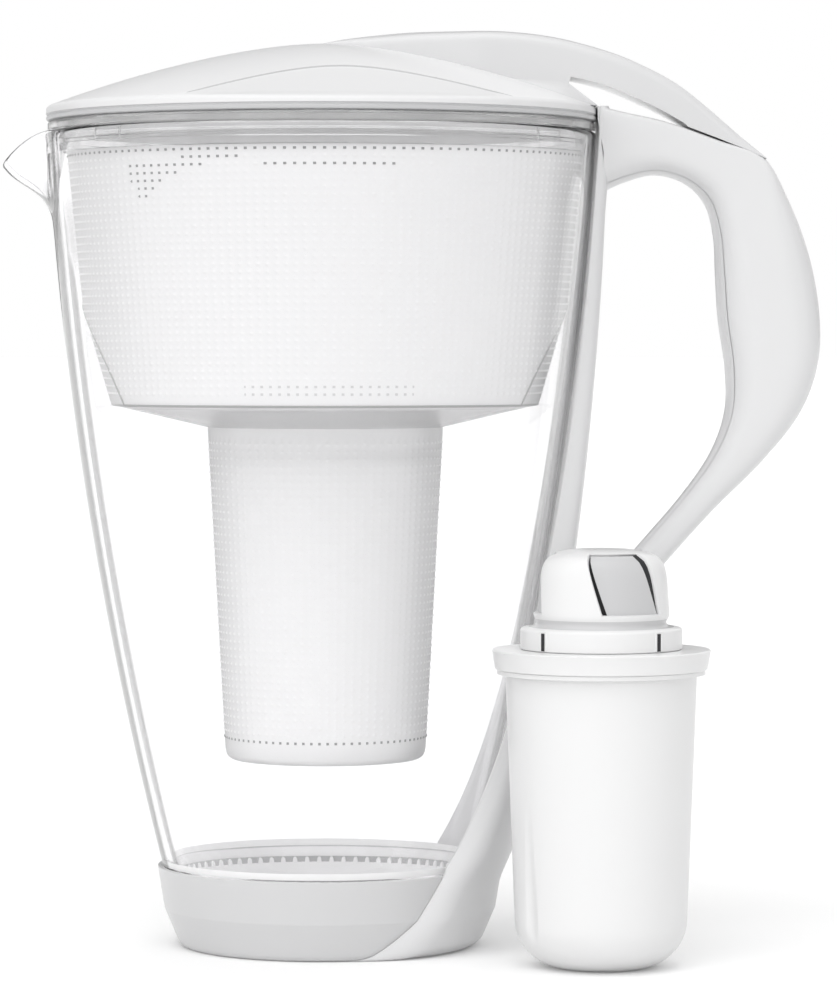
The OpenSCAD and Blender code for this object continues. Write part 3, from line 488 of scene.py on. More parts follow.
spine = {
    "gap": 1, "skim": 0.1, "topT": 4.2, "lowT": 8, "thinZ": 115, "fullZ": 212, "halfW": 12, "flare": 28,
    "reach": 62, "power": 1.4, "leafT": 4.5, "leafRound": 3.5, "leafZ": 17, "leafOver": 12, "ridge": 3.6,
    "closeZ": 241.8, "closeOver": 1.6, "levels": [0.15, 0.4, 0.8, 1.4, 2.2, 3.2, 4.4, 5.6, 7, 8.5, 10, 11, 12],
    "topLevels": [242.9, 243.2],
}


def spineT(z):
    share = clamp((z - spine["thinZ"]) / (spine["fullZ"] - spine["thinZ"]))
    return lerp(spine["lowT"], spine["topT"], share)


def spineIn(z):
    if z < cup["topZ"]:
        return cupOut(z) + spine["skim"]
    return max(jugR(min(z, jug["rimZ"])) + spine["gap"], cup["topR"] + spine["skim"])


def spineOut(z):
    t = ease((z - spine["leafZ"]) / spine["leafOver"])
    out = lerp(cupR(z) + spine["leafT"], jugR(min(z, jug["rimZ"])) + spineT(z), t)
    return out - roundIn(z - cup["edgeZ"], spine["leafRound"])


def spineW(z):
    return spine["halfW"] + spine["flare"] * math.exp(-((max(z, 0) / spine["reach"]) ** spine["power"]))


def makeSpine():
    rows = []
    for z in spine["levels"] + spread(13.5, 22.2, 7) + spread(23.5, 242.4, 90) + spine["topLevels"]:
        rIn, rOut, w = spineIn(z), spineOut(z), spineW(z)
        thick = rOut - rIn
        c = min(spine["ridge"], thick * 0.85, w * 0.6)
        small = min(0.8, thick * 0.15)
        top = ease((z - spine["closeZ"]) / spine["closeOver"])
        middle = [(y, rOut) for y in spread(c - w, w - c, 10)[1:-1]]
        section = [(y, rIn) for y in spread(w - small, small - w, 8)] + [(-w, rIn + small)]
        section += overTop(w, c, rOut, middle) + [(w, rIn + small)]
        row = []
        for y, r in section:
            r, y = lerp(r, (rIn + rOut) / 2, top * 0.4), y * (1 - 0.06 * top)
            row.append((math.sqrt(max(1, r * r - y * y)), y, z))
        rows.append(row)
    makePiece("handleSpine", skin(rows, capEnds=True), "pitcher", plastics["handle"],
              ("handle_spine",), crisp=50)


makeSpine()
print("base and spine made")

# Where the lid's tail lies on the grip, as (x, z).
seam = [(80.4, 243.2), (92, 240.5), (104.6, 237.5), (113, 234.3), (122.6, 230.5), (128.4, 227.8)]
# Each station: inner x and z, outer x and z, and how wide it is.
grip = {
    "halfW": 13.5, "lowHalfW": 8, "lowShare": 0.6, "square": 0.72, "topSquare": 0.14, "topUntil": 5,
    "coverTurn": 38, "slit": 1.2, "seamTo": 131, "bury": 1.2,
    "stations": [
        (80, 218, 79.5, 243.3, 0.88), (88, 221.6, 88, 241.3, 0.88), (96.5, 223.6, 100, 238.5, 0.89),
        (105, 221.3, 115, 233.2, 0.9), (111, 215.3, 127.3, 228.6, 0.92), (113.6, 206, 135, 216.4, 0.96),
        (114.2, 195, 141.2, 200.5, 1), (115, 182, 144.25, 184, 1), (117, 168, 143.9, 169, 1),
        (117, 155, 138.6, 154.6, 0.96), (112.6, 142.6, 127.6, 140.6, 0.88), (104, 130.2, 113.6, 126.6, 0.78),
        (93, 117.4, 100.6, 112.2, 0.7), (81, 103.6, 87.6, 97.4, 0.64), (66, 86.6, 70, 78, 0.6),
        (52, 71, 56, 62, 0.6)],
}


def squared(v, power):
    return math.copysign(abs(v) ** power, v)


def gripPoint(station, angle):
    a = math.radians(angle)
    xIn, zIn, xOut, zOut, share, top = station
    power = lerp(grip["square"], grip["topSquare"], top) if math.cos(a) > 0 else grip["square"]
    out = squared(math.cos(a), power)
    w = lerp(grip["lowHalfW"], grip["halfW"], clamp((share - grip["lowShare"]) / (1 - grip["lowShare"])))
    return ((xIn + xOut) / 2 + (xOut - xIn) / 2 * out, w * squared(math.sin(a), power),
            (zIn + zOut) / 2 + (zOut - zIn) / 2 * out)


def gripRows(start, end, steps):
    last = grip["topUntil"]
    stations = [s + (1.0 if i < last else 0.4 if i == last else 0.0,) for i, s in enumerate(grip["stations"])]
    return [[gripPoint(s, a) for a in spread(start, end, steps)] for s in smoothPath(stations, 8)]


def offSpine(x, y, z, newZ):
    # Points of the grip that lie in the spine are drawn out to just under its face.
    r, limit = math.hypot(x, y), spineOut(z) - grip["bury"]
    share = limit / max(r, 1) if z < jug["rimZ"] and r < limit else 1
    return (x * share, y * share, newZ)


def makeGrip():
    cover, slit = grip["coverTurn"], grip["slit"]
    rows = []
    for row in gripRows(cover - 180, 180 - cover, 56):
        rows.append([offSpine(x, y, z, min(z, heightAt(seam, x) - 0.01) if x < grip["seamTo"] else z)
                     for x, y, z in row])
    makePiece("handleGrip", skin(rows, capEnds=True), "pitcher", plastics["handle"],
              ("handle_grip",), crisp=42)
    rows = [[offSpine(x, y, z, z) for x, y, z in row]
            for row in gripRows(180 - cover + slit, 180 + cover - slit, 20)]
    makePiece("gripCover", skin(rows, capEnds=True), "pitcher", plastics["handle"],
              ("grip_cover",), crisp=42)


makeGrip()
print("handle made")

lid = {
    "r": 79.7, "lowZ": 238.9, "domeZ": 243.4, "domeR": 78.6, "rise": 18.2, "power": 1.6, "wall": 2, "edgeW": 5,
    "lensTurn": 7.7, "lensHalf": 36.4, "lensDeep": 27.6, "lensDrop": 0.7, "lensStep": 0.3, "least": 0.02,
    "turns": 288, "edge": [(0.55, 0.35), (0.15, 0.75), (0, 1.3)],
    "rim": [(0, 240.9), (0.35, 240.6), (0.35, 240.3), (0, 240.0), (0, 239.6), (0.25, 239.15)],
}


def dome(r):
    return lid["domeZ"] + lid["rise"] * (1 - (abs(r) / lid["domeR"]) ** lid["power"])


def lens(turn):
    # How deep the flat facet on each side cuts in at this turn, from 0 to 1.
    deep = 0.0
    for middle in (-90 + lid["lensTurn"], 90 - lid["lensTurn"]):
        off = (turn - middle + 180) % 360 - 180
        deep = max(deep, 1 - (off / lid["lensHalf"]) ** 2)
    return max(0.0, deep)


def lidHeight(x, y):
    r = min(lid["domeR"], math.hypot(x, y))
    deep = lens(math.degrees(math.atan2(y, x)))
    crease = lid["domeR"] - lid["lensDeep"] * max(deep, lid["least"])
    if deep <= lid["least"] or r <= crease:
        return dome(r)
    share = (r - crease) / (lid["domeR"] - crease)
    fall = clamp((r - crease) / 0.5) * lid["lensStep"] * clamp(deep * 6) * clamp((1 - share) * 8)
    flat = lerp(dome(crease), lid["domeZ"] - lid["lensDrop"] * deep, share)
    return lerp(dome(r), flat - fall, clamp(deep * 6))


def makeLid():
    turns, lidR = lid["turns"], lid["r"]
    hollow = lidR - lid["edgeW"]
    rows = []
    for i in range(turns):
        turn = 360 * i / turns
        a = math.radians(turn)
        crease = lid["domeR"] - lid["lensDeep"] * max(lens(turn), lid["least"])
        plain = spread(0, crease - 0.25, 34)
        step = [crease, crease + 0.25, crease + 0.55]
        flat = spread(step[-1], lid["domeR"], 14)[1:]
        row = [(r, lidHeight(r * math.cos(a), r * math.sin(a))) for r in plain + step + flat]
        topZ = row[-1][1]
        row += [(lidR - d, topZ - h) for d, h in lid["edge"]] + [(lidR - d, z) for d, z in lid["rim"]]
        row += [(lidR - 0.9, lid["lowZ"]), (hollow, lid["lowZ"])]
        row += [(r, lidHeight(r * math.cos(a), r * math.sin(a)) - lid["wall"]) for r in spread(hollow, 0, 16)]
        rows.append([polar(r, a, z) for r, z in row])
    cols = len(rows[0]) - 1
    stepFrom = len(plain)
    flatFrom = stepFrom + len(step) - 1
    edgeFrom = flatFrom + len(flat)
    rimFrom = edgeFrom + len(lid["edge"]) + 1
    rimTo = rimFrom + len(lid["rim"]) + 1

    # The flat facets and the dome's outer edge take the darker lid grey as painted shade; the rows at each facet's
    # crease take the groove grey, a painted dark line; the upright rim takes the panel grey, painted shade under the
    # lid's edge.
    def pickFacet(index):
        i, k = divmod(index, cols)
        faceted = lens(360 * (i + 0.5) / turns) > 0.04
        if rimFrom <= k < rimTo:
            return 3
        if faceted and stepFrom <= k < flatFrom:
            return 2
        return int(edgeFrom <= k < rimFrom or (faceted and flatFrom <= k < edgeFrom))

    makePiece("lidDome", skin(rows, closeRows=True, closeCols=False), "lid", plastics["lid"],
              ("lid_shell",), crisp=30, pick=pickFacet,
              more=(plastics["facet"], plastics["groove"], plastics["panelAndRimShade"]))


makeLid()

tail = {
    "top": [(-1, 261.4), (8, 263.1), (23.5, 264.7), (38, 265.15), (53, 265.1), (68, 263.3), (83, 259.3),
            (93, 255.2), (103, 249.8), (113, 241.9), (122, 233.8), (128.2, 228.2)],
    "under": [(104.9, 237.9), (100, 240.8), (93, 244.3), (83, 248.6), (76, 250.6), (70.3, 251.7)],
    "openFrom": 70.3, "openTo": 104.9, "halfW": 12, "noseW": 1.5, "noseX": -1, "noseOver": 47, "round": 3.2,
    "crown": 0.7, "sink": 0.4,
    "rootFrom": 46, "rootTo": 79.25, "rootBend": 68.4, "rootTop": 251.4, "rootBendTop": 251.8, "rootEnd": 243.5,
    "rootFlare": 5.2, "rootIn": 11.9,
}


def makeTail():
    underPath = smoothPath(tail["under"], 6)
    across = 10
    rows = []
    for x, zTop in smoothPath(tail["top"], 8):
        w = lerp(tail["noseW"], tail["halfW"], clamp((x - tail["noseX"]) / tail["noseOver"]) ** 0.85)
        if x < tail["openFrom"]:
            lowSide, lowMid = lidHeight(x, w) - tail["sink"], dome(max(0.0, x)) - tail["sink"]
        elif x < tail["openTo"]:
            lowSide = lowMid = heightAt(underPath, x)
        else:
            lowSide = lowMid = heightAt(seam, x) + 0.03
        lowSide, lowMid = min(lowSide, zTop - 0.25), min(lowMid, zTop - 0.25)
        c = min(tail["round"], (zTop - lowSide) * 0.8, w * 0.8)
        crown = tail["crown"] * clamp((zTop - lowSide) / 6)
        flat = w - c
        middle = [(y, zTop - crown * (y / flat) ** 2) for y in spread(-flat, flat, 8)[1:-1]]
        row = [(x, y, lerp(lowMid, lowSide, (abs(y) / w) ** 2)) for y in spread(w, -w, across)]
        rows.append(row + [(x, y, z) for y, z in overTop(w, c, zTop - crown, middle)])
    cols = len(rows[0])
    # The tail's underside faces take the paler half-metal plastic, painted light against their shade.
    makePiece("lidTail", skin(rows, capEnds=True), "lid", plastics["tail"], ("lid_tail",),
              crisp=42, more=(plastics["paintedUnderLight"],),
              pick=lambda i: int(i % cols < across and i < (len(rows) - 1) * cols))

    rootRows = []
    reach, run = tail["rootTo"] - tail["rootFrom"], tail["rootTo"] - tail["rootBend"]
    for x in spread(tail["rootFrom"], tail["rootTo"], 30):
        zTop = tail["rootTop"]
        if x >= tail["rootBend"]:
            zTop = lerp(tail["rootBendTop"], tail["rootEnd"], (x - tail["rootBend"]) / run)
        w = tail["halfW"] + tail["rootFlare"] * ease((x - tail["rootFrom"]) / reach)
        floor = lidHeight(min(x, 78), w) - 0.3
        side = []
        for s in spread(0, 1, 8):
            a = s * math.pi / 2
            side.append((lerp(w, tail["rootIn"], math.sin(a)),
                         lerp(floor, max(zTop, floor + 0.1), 1 - math.cos(a))))
        rootRows.append([(x, -y, z) for y, z in side] + [(x, y, z) for y, z in side[::-1]])
    makePiece("tailRoot", skin(rootRows, capEnds=True), "lid", plastics["tail"], crisp=42)


makeTail()
print("lid made")

collar = [(74.8, 229.8), (76.1, 229.8), (76.1, 231.9), (75.6, 232.2), (75.6, 232.9), (76.1, 233.2), (76.1, 235.9),
          (76.3, 236.1), (78.9, 236.1), (79.2, 236.4), (79.2, 238.2), (78.8, 238.6), (77.2, 238.6), (76.8, 237.9),
          (75.3, 237.9), (74.9, 238.6), (74.8, 238.5)]
tabs = {"turns": (-139.3, -33.5, 139.3, 33.5), "r": 76.2, "z": 233.4, "halfW": 5.0, "halfH": 1.0, "corner": 0.5,
        "wire": 0.3}


def makeCollar():
    piece = makePiece("hopperRim", turned(collar, 200), "pitcher", clears["collar"],
                      ("hopper_rim",))
    piece.visible_shadow = False


def makeTabs():
    r, corner = tabs["r"], tabs["corner"]
    outline = []
    for u, v, start in ((-1, -1, 180), (1, -1, 270), (1, 1, 0), (-1, 1, 90)):
        outline += [(u * tabs["halfW"] + corner * math.cos(c), tabs["z"] + v * tabs["halfH"] + corner * math.sin(c))
                    for c in arc(start, start + 91, 30)]
    shapes = [tube([polar(r, math.radians(turn) + across / r, z) for across, z in outline], tabs["wire"])
              for turn in tabs["turns"]]
    piece = makePiece("liftTabs", joined(*shapes), "pitcher", clears["collar"])
    piece.visible_shadow = False


makeCollar()
makeTabs()

# The rows of dots painted dark as painted shade, each with the turns they begin and end at.
hopper = {
    "shift": 1, "topZ": 229.7, "topR": 74.6, "footZ": 157.3, "facetZ": 187.5, "facetIn": 5.6, "bow": 0.0046,
    "wall": 2, "holeR": 34.3, "holeZ": 150.8, "dotsRound": 172, "dotRows": 33, "dotHigh": 0.36, "coarse": 240,
    "dark": {32: [(-180, 0)], 31: [(-122, -107)], 30: [(-136, -115), (-102, -74)], 29: [(-136, -121)],
             28: [(-135, -125)], 27: [(-133, -127)], 26: [(-133, -129)]},
    "faintRows": 2, "faintTurns": (-108, -68), "creaseR": 0.3, "footLineR": 0.4,
}
hopper["footR"] = jugR(hopper["footZ"]) - 3 - 1.8
# Where the four grid lines of a dot's cell lie; the third is its middle.
dotShares = (0, 0.34, 0.5, 0.66)


def bowlSide(z):
    return lerp(hopper["footR"], hopper["topR"], (z - hopper["footZ"]) / (hopper["topZ"] - hopper["footZ"]))


def facetX(z):
    return lerp(hopper["footR"] - hopper["facetIn"], bowlSide(hopper["facetZ"]),
                (z - hopper["footZ"]) / (hopper["facetZ"] - hopper["footZ"]))


def bowlR(z, a, inset=0):
    side = bowlSide(z) - inset
    if z >= hopper["facetZ"]:
        return side
    reach = facetX(z) - inset
    r = side
    for _ in range(4):
        y = r * math.sin(a)
        r = min(side, (reach - hopper["bow"] * y * y) / max(abs(math.cos(a)), 1e-3))
    return r


def dotAngle(k, around):
    cell, line = divmod(k, 4)
    return 2 * math.pi * (cell + dotShares[line]) / around


def dotHeights(low, high, count):
    pitch = (high - low) / count
    return [low + (i + share) * pitch for i in range(count) for share in dotShares]


def dotted(i, k):
    return i % 4 == 2 and k % 4 == 2


def dotKind(i, k, count, darkRows):
    if i < 0 or i >= count - 1 or i % 4 not in (1, 2) or k % 4 not in (1, 2):
        return 0
    return 2 if i // 4 in darkRows else 1


def facetEdge(z, side, way):
    # Where the facet meets the round side, on the facet at this side and this way round from its middle.
    r, reach, bow = bowlSide(z), facetX(z), hopper["bow"]
    c = (1 - math.sqrt(1 - 4 * bow * (reach - bow * r * r))) / (2 * bow * r)
    return polar(r, side + way * math.acos(clamp(c)), z, hopper["shift"])


def makeBowl():
    around, footZ, topZ, wall, shift = (hopper[key] for key in ("dotsRound", "footZ", "topZ", "wall", "shift"))
    holeR, holeZ, foot = hopper["holeR"], hopper["holeZ"], 0.9
    cols = around * 4
    zs = [footZ + v for v in (0, 0.35, 0.8, 1.3, 1.9)]
    dotZs = dotHeights(footZ + 2.6, topZ - 0.1, hopper["dotRows"])
    outerZ = zs + dotZs + [topZ - 0.5, topZ - 0.2, topZ]
    floorRows = spread(0, 1, 8)
    rows = [[] for _ in range(len(floorRows) + len(outerZ))]
    for k in range(cols):
        a = dotAngle(k, around)
        rim = bowlR(footZ + 0.4, a) - 0.5
        line = [(lerp(holeR, rim, s), lerp(holeZ, footZ, s)) for s in floorRows[:-1]]
        for j, z in enumerate(outerZ):
            r = bowlR(max(z, footZ + 0.01), a)
            if z < footZ + foot:
                r -= 0.6 * (1 - (z - footZ) / foot) ** 2
            if len(zs) <= j < len(zs) + len(dotZs) and dotted(j - len(zs), k):
                r += hopper["dotHigh"]
            line.append((r, z))
        line.append((hopper["topR"] - wall, topZ))
        for i, (r, z) in enumerate(line):
            rows[i].append(polar(r, a, z, shift))
    first = len(floorRows) - 1 + len(zs)
    fromTurn, toTurn = hopper["faintTurns"]

    def pickDot(index):
        i, k = divmod(index, cols)
        if i < len(floorRows) - 2:
            return 4
        kind = dotKind(i - first, k, len(dotZs), ())
        if kind == 0:
            return 0
        dotRow, turn = (i - first) // 4, (k + 0.5) * 360 / cols - 360
        if any(low < turn < high for low, high in hopper["dark"].get(dotRow, ())):
            return 2
        return 3 if dotRow < hopper["faintRows"] and fromTurn < turn < toTurn else 1

    turns = [2 * math.pi * k / hopper["coarse"] for k in range(hopper["coarse"])]
    inRows = []
    for z in spread(topZ, hopper["facetZ"], 6) + spread(hopper["facetZ"], footZ + wall, 14)[1:]:
        inRows.append([polar(bowlR(z, a, wall), a, z, shift) for a in turns])
    last, hole = inRows[-1], [polar(holeR, a, holeZ + wall, shift) for a in turns]
    for s in spread(0, 1, 5)[1:]:
        inRows.append([tuple(lerp(u, v, s) for u, v in zip(p, q)) for p, q in zip(last, hole)])
    # Thin grey tubes paint lines of shade along the facets' curved edges and round the bowl's foot.
    levels = spread(footZ + 0.6, hopper["facetZ"] - 0.02, 30)
    lines = [tube([facetEdge(z, side, way) for z in levels], hopper["creaseR"], closed=False)
             for side in (0, math.pi) for way in (-1, 1)]
    edge = []
    for k in range(180):
        a = 2 * math.pi * k / 180
        edge.append(polar(bowlR(footZ + 0.4, a) - 0.35, a, footZ + 0.3, shift))
    lines.append(tube(edge, hopper["footLineR"]))
    pieces = [
        makePiece("hopperBowl", skin(rows), "pitcher", clears["frosted"], ("hopper_bowl",),
                  crisp=45, pick=pickDot,
                  more=(clears["dot"], clears["darkDot"], clears["faintDot"], clears["lining"])),
        makePiece("bowlLining", skin(inRows), "pitcher", clears["lining"], crisp=45, flip=True),
        makePiece("bowlEdges", joined(*lines), "pitcher", clears["crease"]),
    ]
    for piece in pieces:
        piece.visible_shadow = False


makeBowl()

well = {
    "topZ": 150.8, "topR": 34.2, "lowZ": 54.5, "lowR": 29, "wall": 2, "corner": 2.5, "lipW": 3, "lipZ": 153.5,
    "lipT": 1.6, "dotsRound": 80, "dotRows": 40, "dotHigh": 0.34, "dotLow": 60, "dotTop": 147.5,
    "floorR": (0, 10, 20), "plainZ": (57.6, 58.6, 59.6), "neckZ": 149,
}


def wellR(z):
    return lerp(well["lowR"], well["topR"], (z - well["lowZ"]) / (well["topZ"] - well["lowZ"]))


def makeWell():
    around, lowZ, lowR, wall, corner = (well[key] for key in ("dotsRound", "lowZ", "lowR", "wall", "corner"))
    topR, lipZ, lipTop, neckZ = well["topR"], well["lipZ"], well["lipZ"] + well["lipT"], well["neckZ"]
    floor = [(r, lowZ) for r in well["floorR"]]
    floor += [(lowR - corner * (1 - math.sin(a)), lowZ + corner * (1 - math.cos(a))) for a in arc(0, 91, 15)]
    floor += [(wellR(z), z) for z in well["plainZ"]]
    dotZs = dotHeights(well["dotLow"], well["dotTop"], well["dotRows"])
    side = [(wellR(z), z) for z in dotZs] + [(wellR(neckZ), neckZ)]
    top = [(topR, well["topZ"]), (topR, lipZ), (topR + well["lipW"], lipZ), (topR + well["lipW"], lipTop),
           (topR - wall, lipTop)]
    inside = [(wellR(z) - wall, z) for z in spread(neckZ, 58, 12)]
    inside += [(lowR - corner - 1, lowZ + wall), (0, lowZ + wall)]
    profile = floor + side + top + inside
    first = len(floor)
    rows = []
    for k in range(around * 4):
        row = []
        for i, (r, z) in enumerate(profile):
            if 0 <= i - first < len(dotZs) and dotted(i - first, k):
                r += well["dotHigh"]
            row.append(polar(r, dotAngle(k, around), z, hopper["shift"]))
        rows.append(row)
    width = len(profile) - 1

    def pickDot(index):
        k, i = divmod(index, width)
        return 3 if i > first + len(dotZs) + 3 else dotKind(i - first, k, len(dotZs), (0,))

    piece = makePiece("filterWell", skin(rows, closeRows=True, closeCols=False), "pitcher", clears["frosted"],
                      ("filter_well",), crisp=45, pick=pickDot,
                      more=(clears["dot"], clears["darkDot"], clears["lining"]))
    piece.visible_shadow = False


makeWell()
print("hopper made")

cart = {
    "centre": (79.29, -48.40), "topR": 26.9, "lowR": 24.3, "foot": 13, "sideZ": 15, "flangeR": 30.7,
    "flangeLowR": 29.84, "flangeZ": 83.7, "flangeT": 5.6, "wall": 2.2, "mouthR": 21.8, "fluteTurn": 215,
    "fluteR": 6, "fluteDeep": 1.6, "fluteLean": 3.4, "fluteH": 64, "turns": 220,
}


def cartR(z):
    share = (z - cart["sideZ"]) / (cart["flangeZ"] - cart["sideZ"])
    return lerp(cart["lowR"], cart["topR"], share) - roundIn(z, cart["foot"])


def cartPoint(r, z, a):
    return polar(r, a, z, *cart["centre"])


def makeCartridgeCup():
    flute, fluteR = math.radians(cart["fluteTurn"]), cart["fluteR"]
    lean = math.tan(math.radians(cart["fluteLean"]))
    flangeZ, flangeTop = cart["flangeZ"], cart["flangeZ"] + cart["flangeT"]
    flangeR, flangeLowR, mouthR = cart["flangeR"], cart["flangeLowR"], cart["mouthR"]
    levels = [cart["foot"] * (1 - math.cos(a)) for a in arc(0, 91, 6)]
    levels += spread(cart["sideZ"], flangeZ - 0.4, 46)
    upper = [(cart["topR"] + 0.4, flangeZ), (flangeLowR - 0.3, flangeZ), (flangeLowR, flangeZ + 0.3),
             (flangeR - 0.15, flangeTop - 0.7), (flangeR, flangeTop - 0.35), (flangeR - 0.4, flangeTop),
             (mouthR, flangeTop)]
    inside = [(mouthR, flangeZ)] + [(cartR(z) - cart["wall"], z) for z in (80, 60, 40, 20, 10, 4)]
    inside += [(0, cart["wall"])]
    rows = []
    for i in range(cart["turns"]):
        a = 2 * math.pi * i / cart["turns"]
        off = (a - flute + math.pi) % (2 * math.pi) - math.pi
        row = [(0, 0)]
        for z in levels:
            r = cartR(z)
            # The flute is a leaning cylinder that cuts the side; its depth falls off to nothing at its top.
            axis = cart["lowR"] + fluteR - cart["fluteDeep"] + lean * z
            d = axis * math.sin(off)
            if abs(off) < 0.6 and z < cart["fluteH"] and abs(d) < fluteR:
                r = min(r, axis * math.cos(off) - math.sqrt(fluteR ** 2 - d * d))
            row.append((max(0, r), z))
        rows.append([cartPoint(r, z, a) for r, z in row + upper + inside])
    makePiece("cartridgeCup", skin(rows, closeRows=True, closeCols=False), "cartridge", plastics["cartridge"],
              ("cartridge_cup",), crisp=32)


makeCartridgeCup()

cap = {
    "ringR": 22.7, "ringLow": 89.4, "top": 117.5, "windowTurns": (-70, 50, 170), "lowZ": 99.4, "highR": 13,
    "leftLow": -22, "leftHigh": -38, "rightLow": 37, "rightHigh": 27, "across": 14, "rest": 34,
    "slotTurns": (-47.5, 42.5, 132.5, -137.5), "slotW": 1.5, "slotLow": 90.4, "slotHigh": 94.6,
    "ringTop": [(22.65, 94.9), (22.45, 95.2), (22, 95.45)],
    "groove": [(20.4, 95.7), (19.2, 95.9), (18.45, 96.3), (18.2, 96.9), (18.3, 97.4), (18.7, 98.0), (18.92, 98.6)],
    "grooveLow": 95.6, "grooveHigh": 98.2,
    "dome": [(19.05, 99.4), (18.85, 102.6), (18.65, 106), (18.35, 109.4), (17.8, 112.2), (16.8, 114.2),
             (15, 115.7), (12, 116.7), (8, 117.3), (4, 117.47), (0, 117.5)],
    "wallSteps": ((0, 0), (0.25, 0.25), (0.7, 0.32), (2.4, 0.32)),
    "screen": {"deep": 1.3, "topZ": 115.9, "left": (0.09, 0.03), "right": (0.965, 0.84)},
    "shadow": {"deep": 2.6, "topZ": 116.2, "left": (-0.02, -0.02), "right": (1.02, 1.02)},
    "frameSteps": ((0.0, 1), (0.22, 0.75), (0.22, 0.35), (-0.05, 0)), "frameW": 0.75, "frameDrop": 0.7,
}


def capProfile():
    r, low = cap["ringR"], cap["ringLow"]
    points = [(r - 0.25, low), (r, low + 0.25)] + [(r, z) for z in spread(cap["slotLow"], cap["slotHigh"], 4)]
    return points + cap["ringTop"] + cap["groove"] + smoothPath(cap["dome"], 3)


def windowEdges(z):
    t = clamp((z - cap["lowZ"]) / (cap["top"] - 1 - cap["lowZ"]))
    return lerp(cap["leftLow"], cap["leftHigh"], t), lerp(cap["rightLow"], cap["rightHigh"], t)


def capPoint(r, z, turn):
    return cartPoint(r, z, math.radians(turn))


def makeCap(profile):
    low = next(i for i, (r, z) in enumerate(profile) if abs(z - cap["lowZ"]) < 0.01)
    high = max(i for i, (r, z) in enumerate(profile) if r > cap["highR"])
    across, rest = cap["across"], cap["rest"]
    rows = []
    for r, z in profile:
        left, right = windowEdges(max(z, cap["lowZ"]))
        row = []
        for turn in cap["windowTurns"]:
            row += [capPoint(r, z, turn + lerp(left, right, k / across)) for k in range(across)]
            row += [capPoint(r, z, turn + lerp(right, 120 + left, k / rest)) for k in range(rest)]
        rows.append(row)
    cols = len(rows[0])
    points, faces = skin(rows)
    kept = [face for index, face in enumerate(faces)
            if not (low <= index // cols < high and index % cols % (across + rest) < across)]
    shell = makePiece("cartridgeCap", (points, kept), "cartridge", plastics["cartridge"],
                      ("cartridge_cap",), crisp=40, more=(plastics["base"],))
    # Faces in the groove under the dome take the base grey: painted shade.
    for polygon in shell.data.polygons:
        polygon.material_index = int(cap["grooveLow"] < polygon.center.z / mm < cap["grooveHigh"])

    # Inward walls round each window, with a small rounded edge; they take the greyer handle plastic as painted
    # shade.
    rim = [(i, 0) for i in range(low, high)] + [(high, k) for k in range(across)]
    rim += [(i, across) for i in range(high, low, -1)] + [(low, k) for k in range(across, 0, -1)]
    jambs = []
    for turn in cap["windowTurns"]:
        loops = []
        for deep, shrink in cap["wallSteps"]:
            loop = []
            for i, k in rim:
                r, z = profile[i]
                left, right = windowEdges(max(z, cap["lowZ"]))
                slack = math.degrees(shrink / max(r, 8))
                height = clamp((z - cap["lowZ"]) / 14)
                inR = r - deep * (1 - 0.45 * height)
                inZ = z - deep * height * 0.8 + (shrink if i == low else 0)
                loop.append(capPoint(inR, inZ, turn + lerp(left + slack, right - slack, k / across)))
            loops.append(loop)
        jambs.append(skin(loops))
    makePiece("windowJambs", joined(*jambs), "cartridge", plastics["handle"], crisp=40)


def windowFace(profile, turn, face):
    # A flat face set in a window: deep at its left edge, nearly flush at its right one.
    deep = face["deep"]
    grid = []
    for v in spread(0, 1, 10):
        z = lerp(cap["lowZ"] - 0.2, face["topZ"], v)
        left, right = windowEdges(z)
        r = heightAt([(pz, pr) for pr, pz in profile], z)
        p0, p1 = Vector(capPoint(r - deep, z, turn + left)), Vector(capPoint(r - 0.3 * deep, z, turn + right))
        bow = Vector(capPoint(r - deep * 0.6, z, turn + (left + right) / 2)) - (p0 + p1) / 2
        start, end = (lerp(*face[edge], v ** 0.8) for edge in ("left", "right"))
        grid.append([tuple(p0.lerp(p1, u) + bow * 0.75 * (1 - (2 * u - 1) ** 2)) for u in spread(start, end, 10)])
    return skin(grid, closeCols=False)


def makeWindows(profile):
    screens = joined(*(windowFace(profile, turn, cap["screen"]) for turn in cap["windowTurns"]))
    # Behind each screen a near-black sheet paints the shade seen in the window's slits.
    shadows = joined(*(windowFace(profile, turn, cap["shadow"]) for turn in cap["windowTurns"]))
    makePiece("windowScreens", screens, "cartridge", plastics["panelAndRimShade"], ("inlet_windows",))
    makePiece("windowShadows", shadows, "cartridge", plastics["blackShade"])


def makeSlots():
    # Slots in the ring: a raised frame round a near-black patch that paints the shade of a recess.
    ringR, low, high = cap["ringR"], cap["slotLow"] - cap["frameDrop"], cap["slotHigh"]
    half, edge = math.degrees(cap["slotW"] / 2 / ringR), math.degrees(cap["frameW"] / ringR)
    frames, shadePatches = [], []
    for turn in cap["slotTurns"]:
        ring = []
        for out, share in cap["frameSteps"]:
            left, right = turn - half - edge * share, turn + half + edge * share
            corners = ((low, left), (high + cap["frameW"] * share, left), (high + cap["frameW"] * share, right),
                       (low, right))
            ring.append([capPoint(ringR + out, z, a) for z, a in corners])
        frames.append(skin(ring, closeCols=False))
        shadePatches.append(skin([[capPoint(ringR + 0.06, z, turn + a) for a in (-half, 0, half * 0.8)]
                           for z in (low, high)], closeCols=False))
    makePiece("slotFrames", joined(*frames), "cartridge", plastics["cartridge"])
    makePiece("slotShadePatches", joined(*shadePatches), "cartridge", plastics["blackShade"])


makeCap(capProfile())
makeWindows(capProfile())
makeSlots()
print("cartridge made")

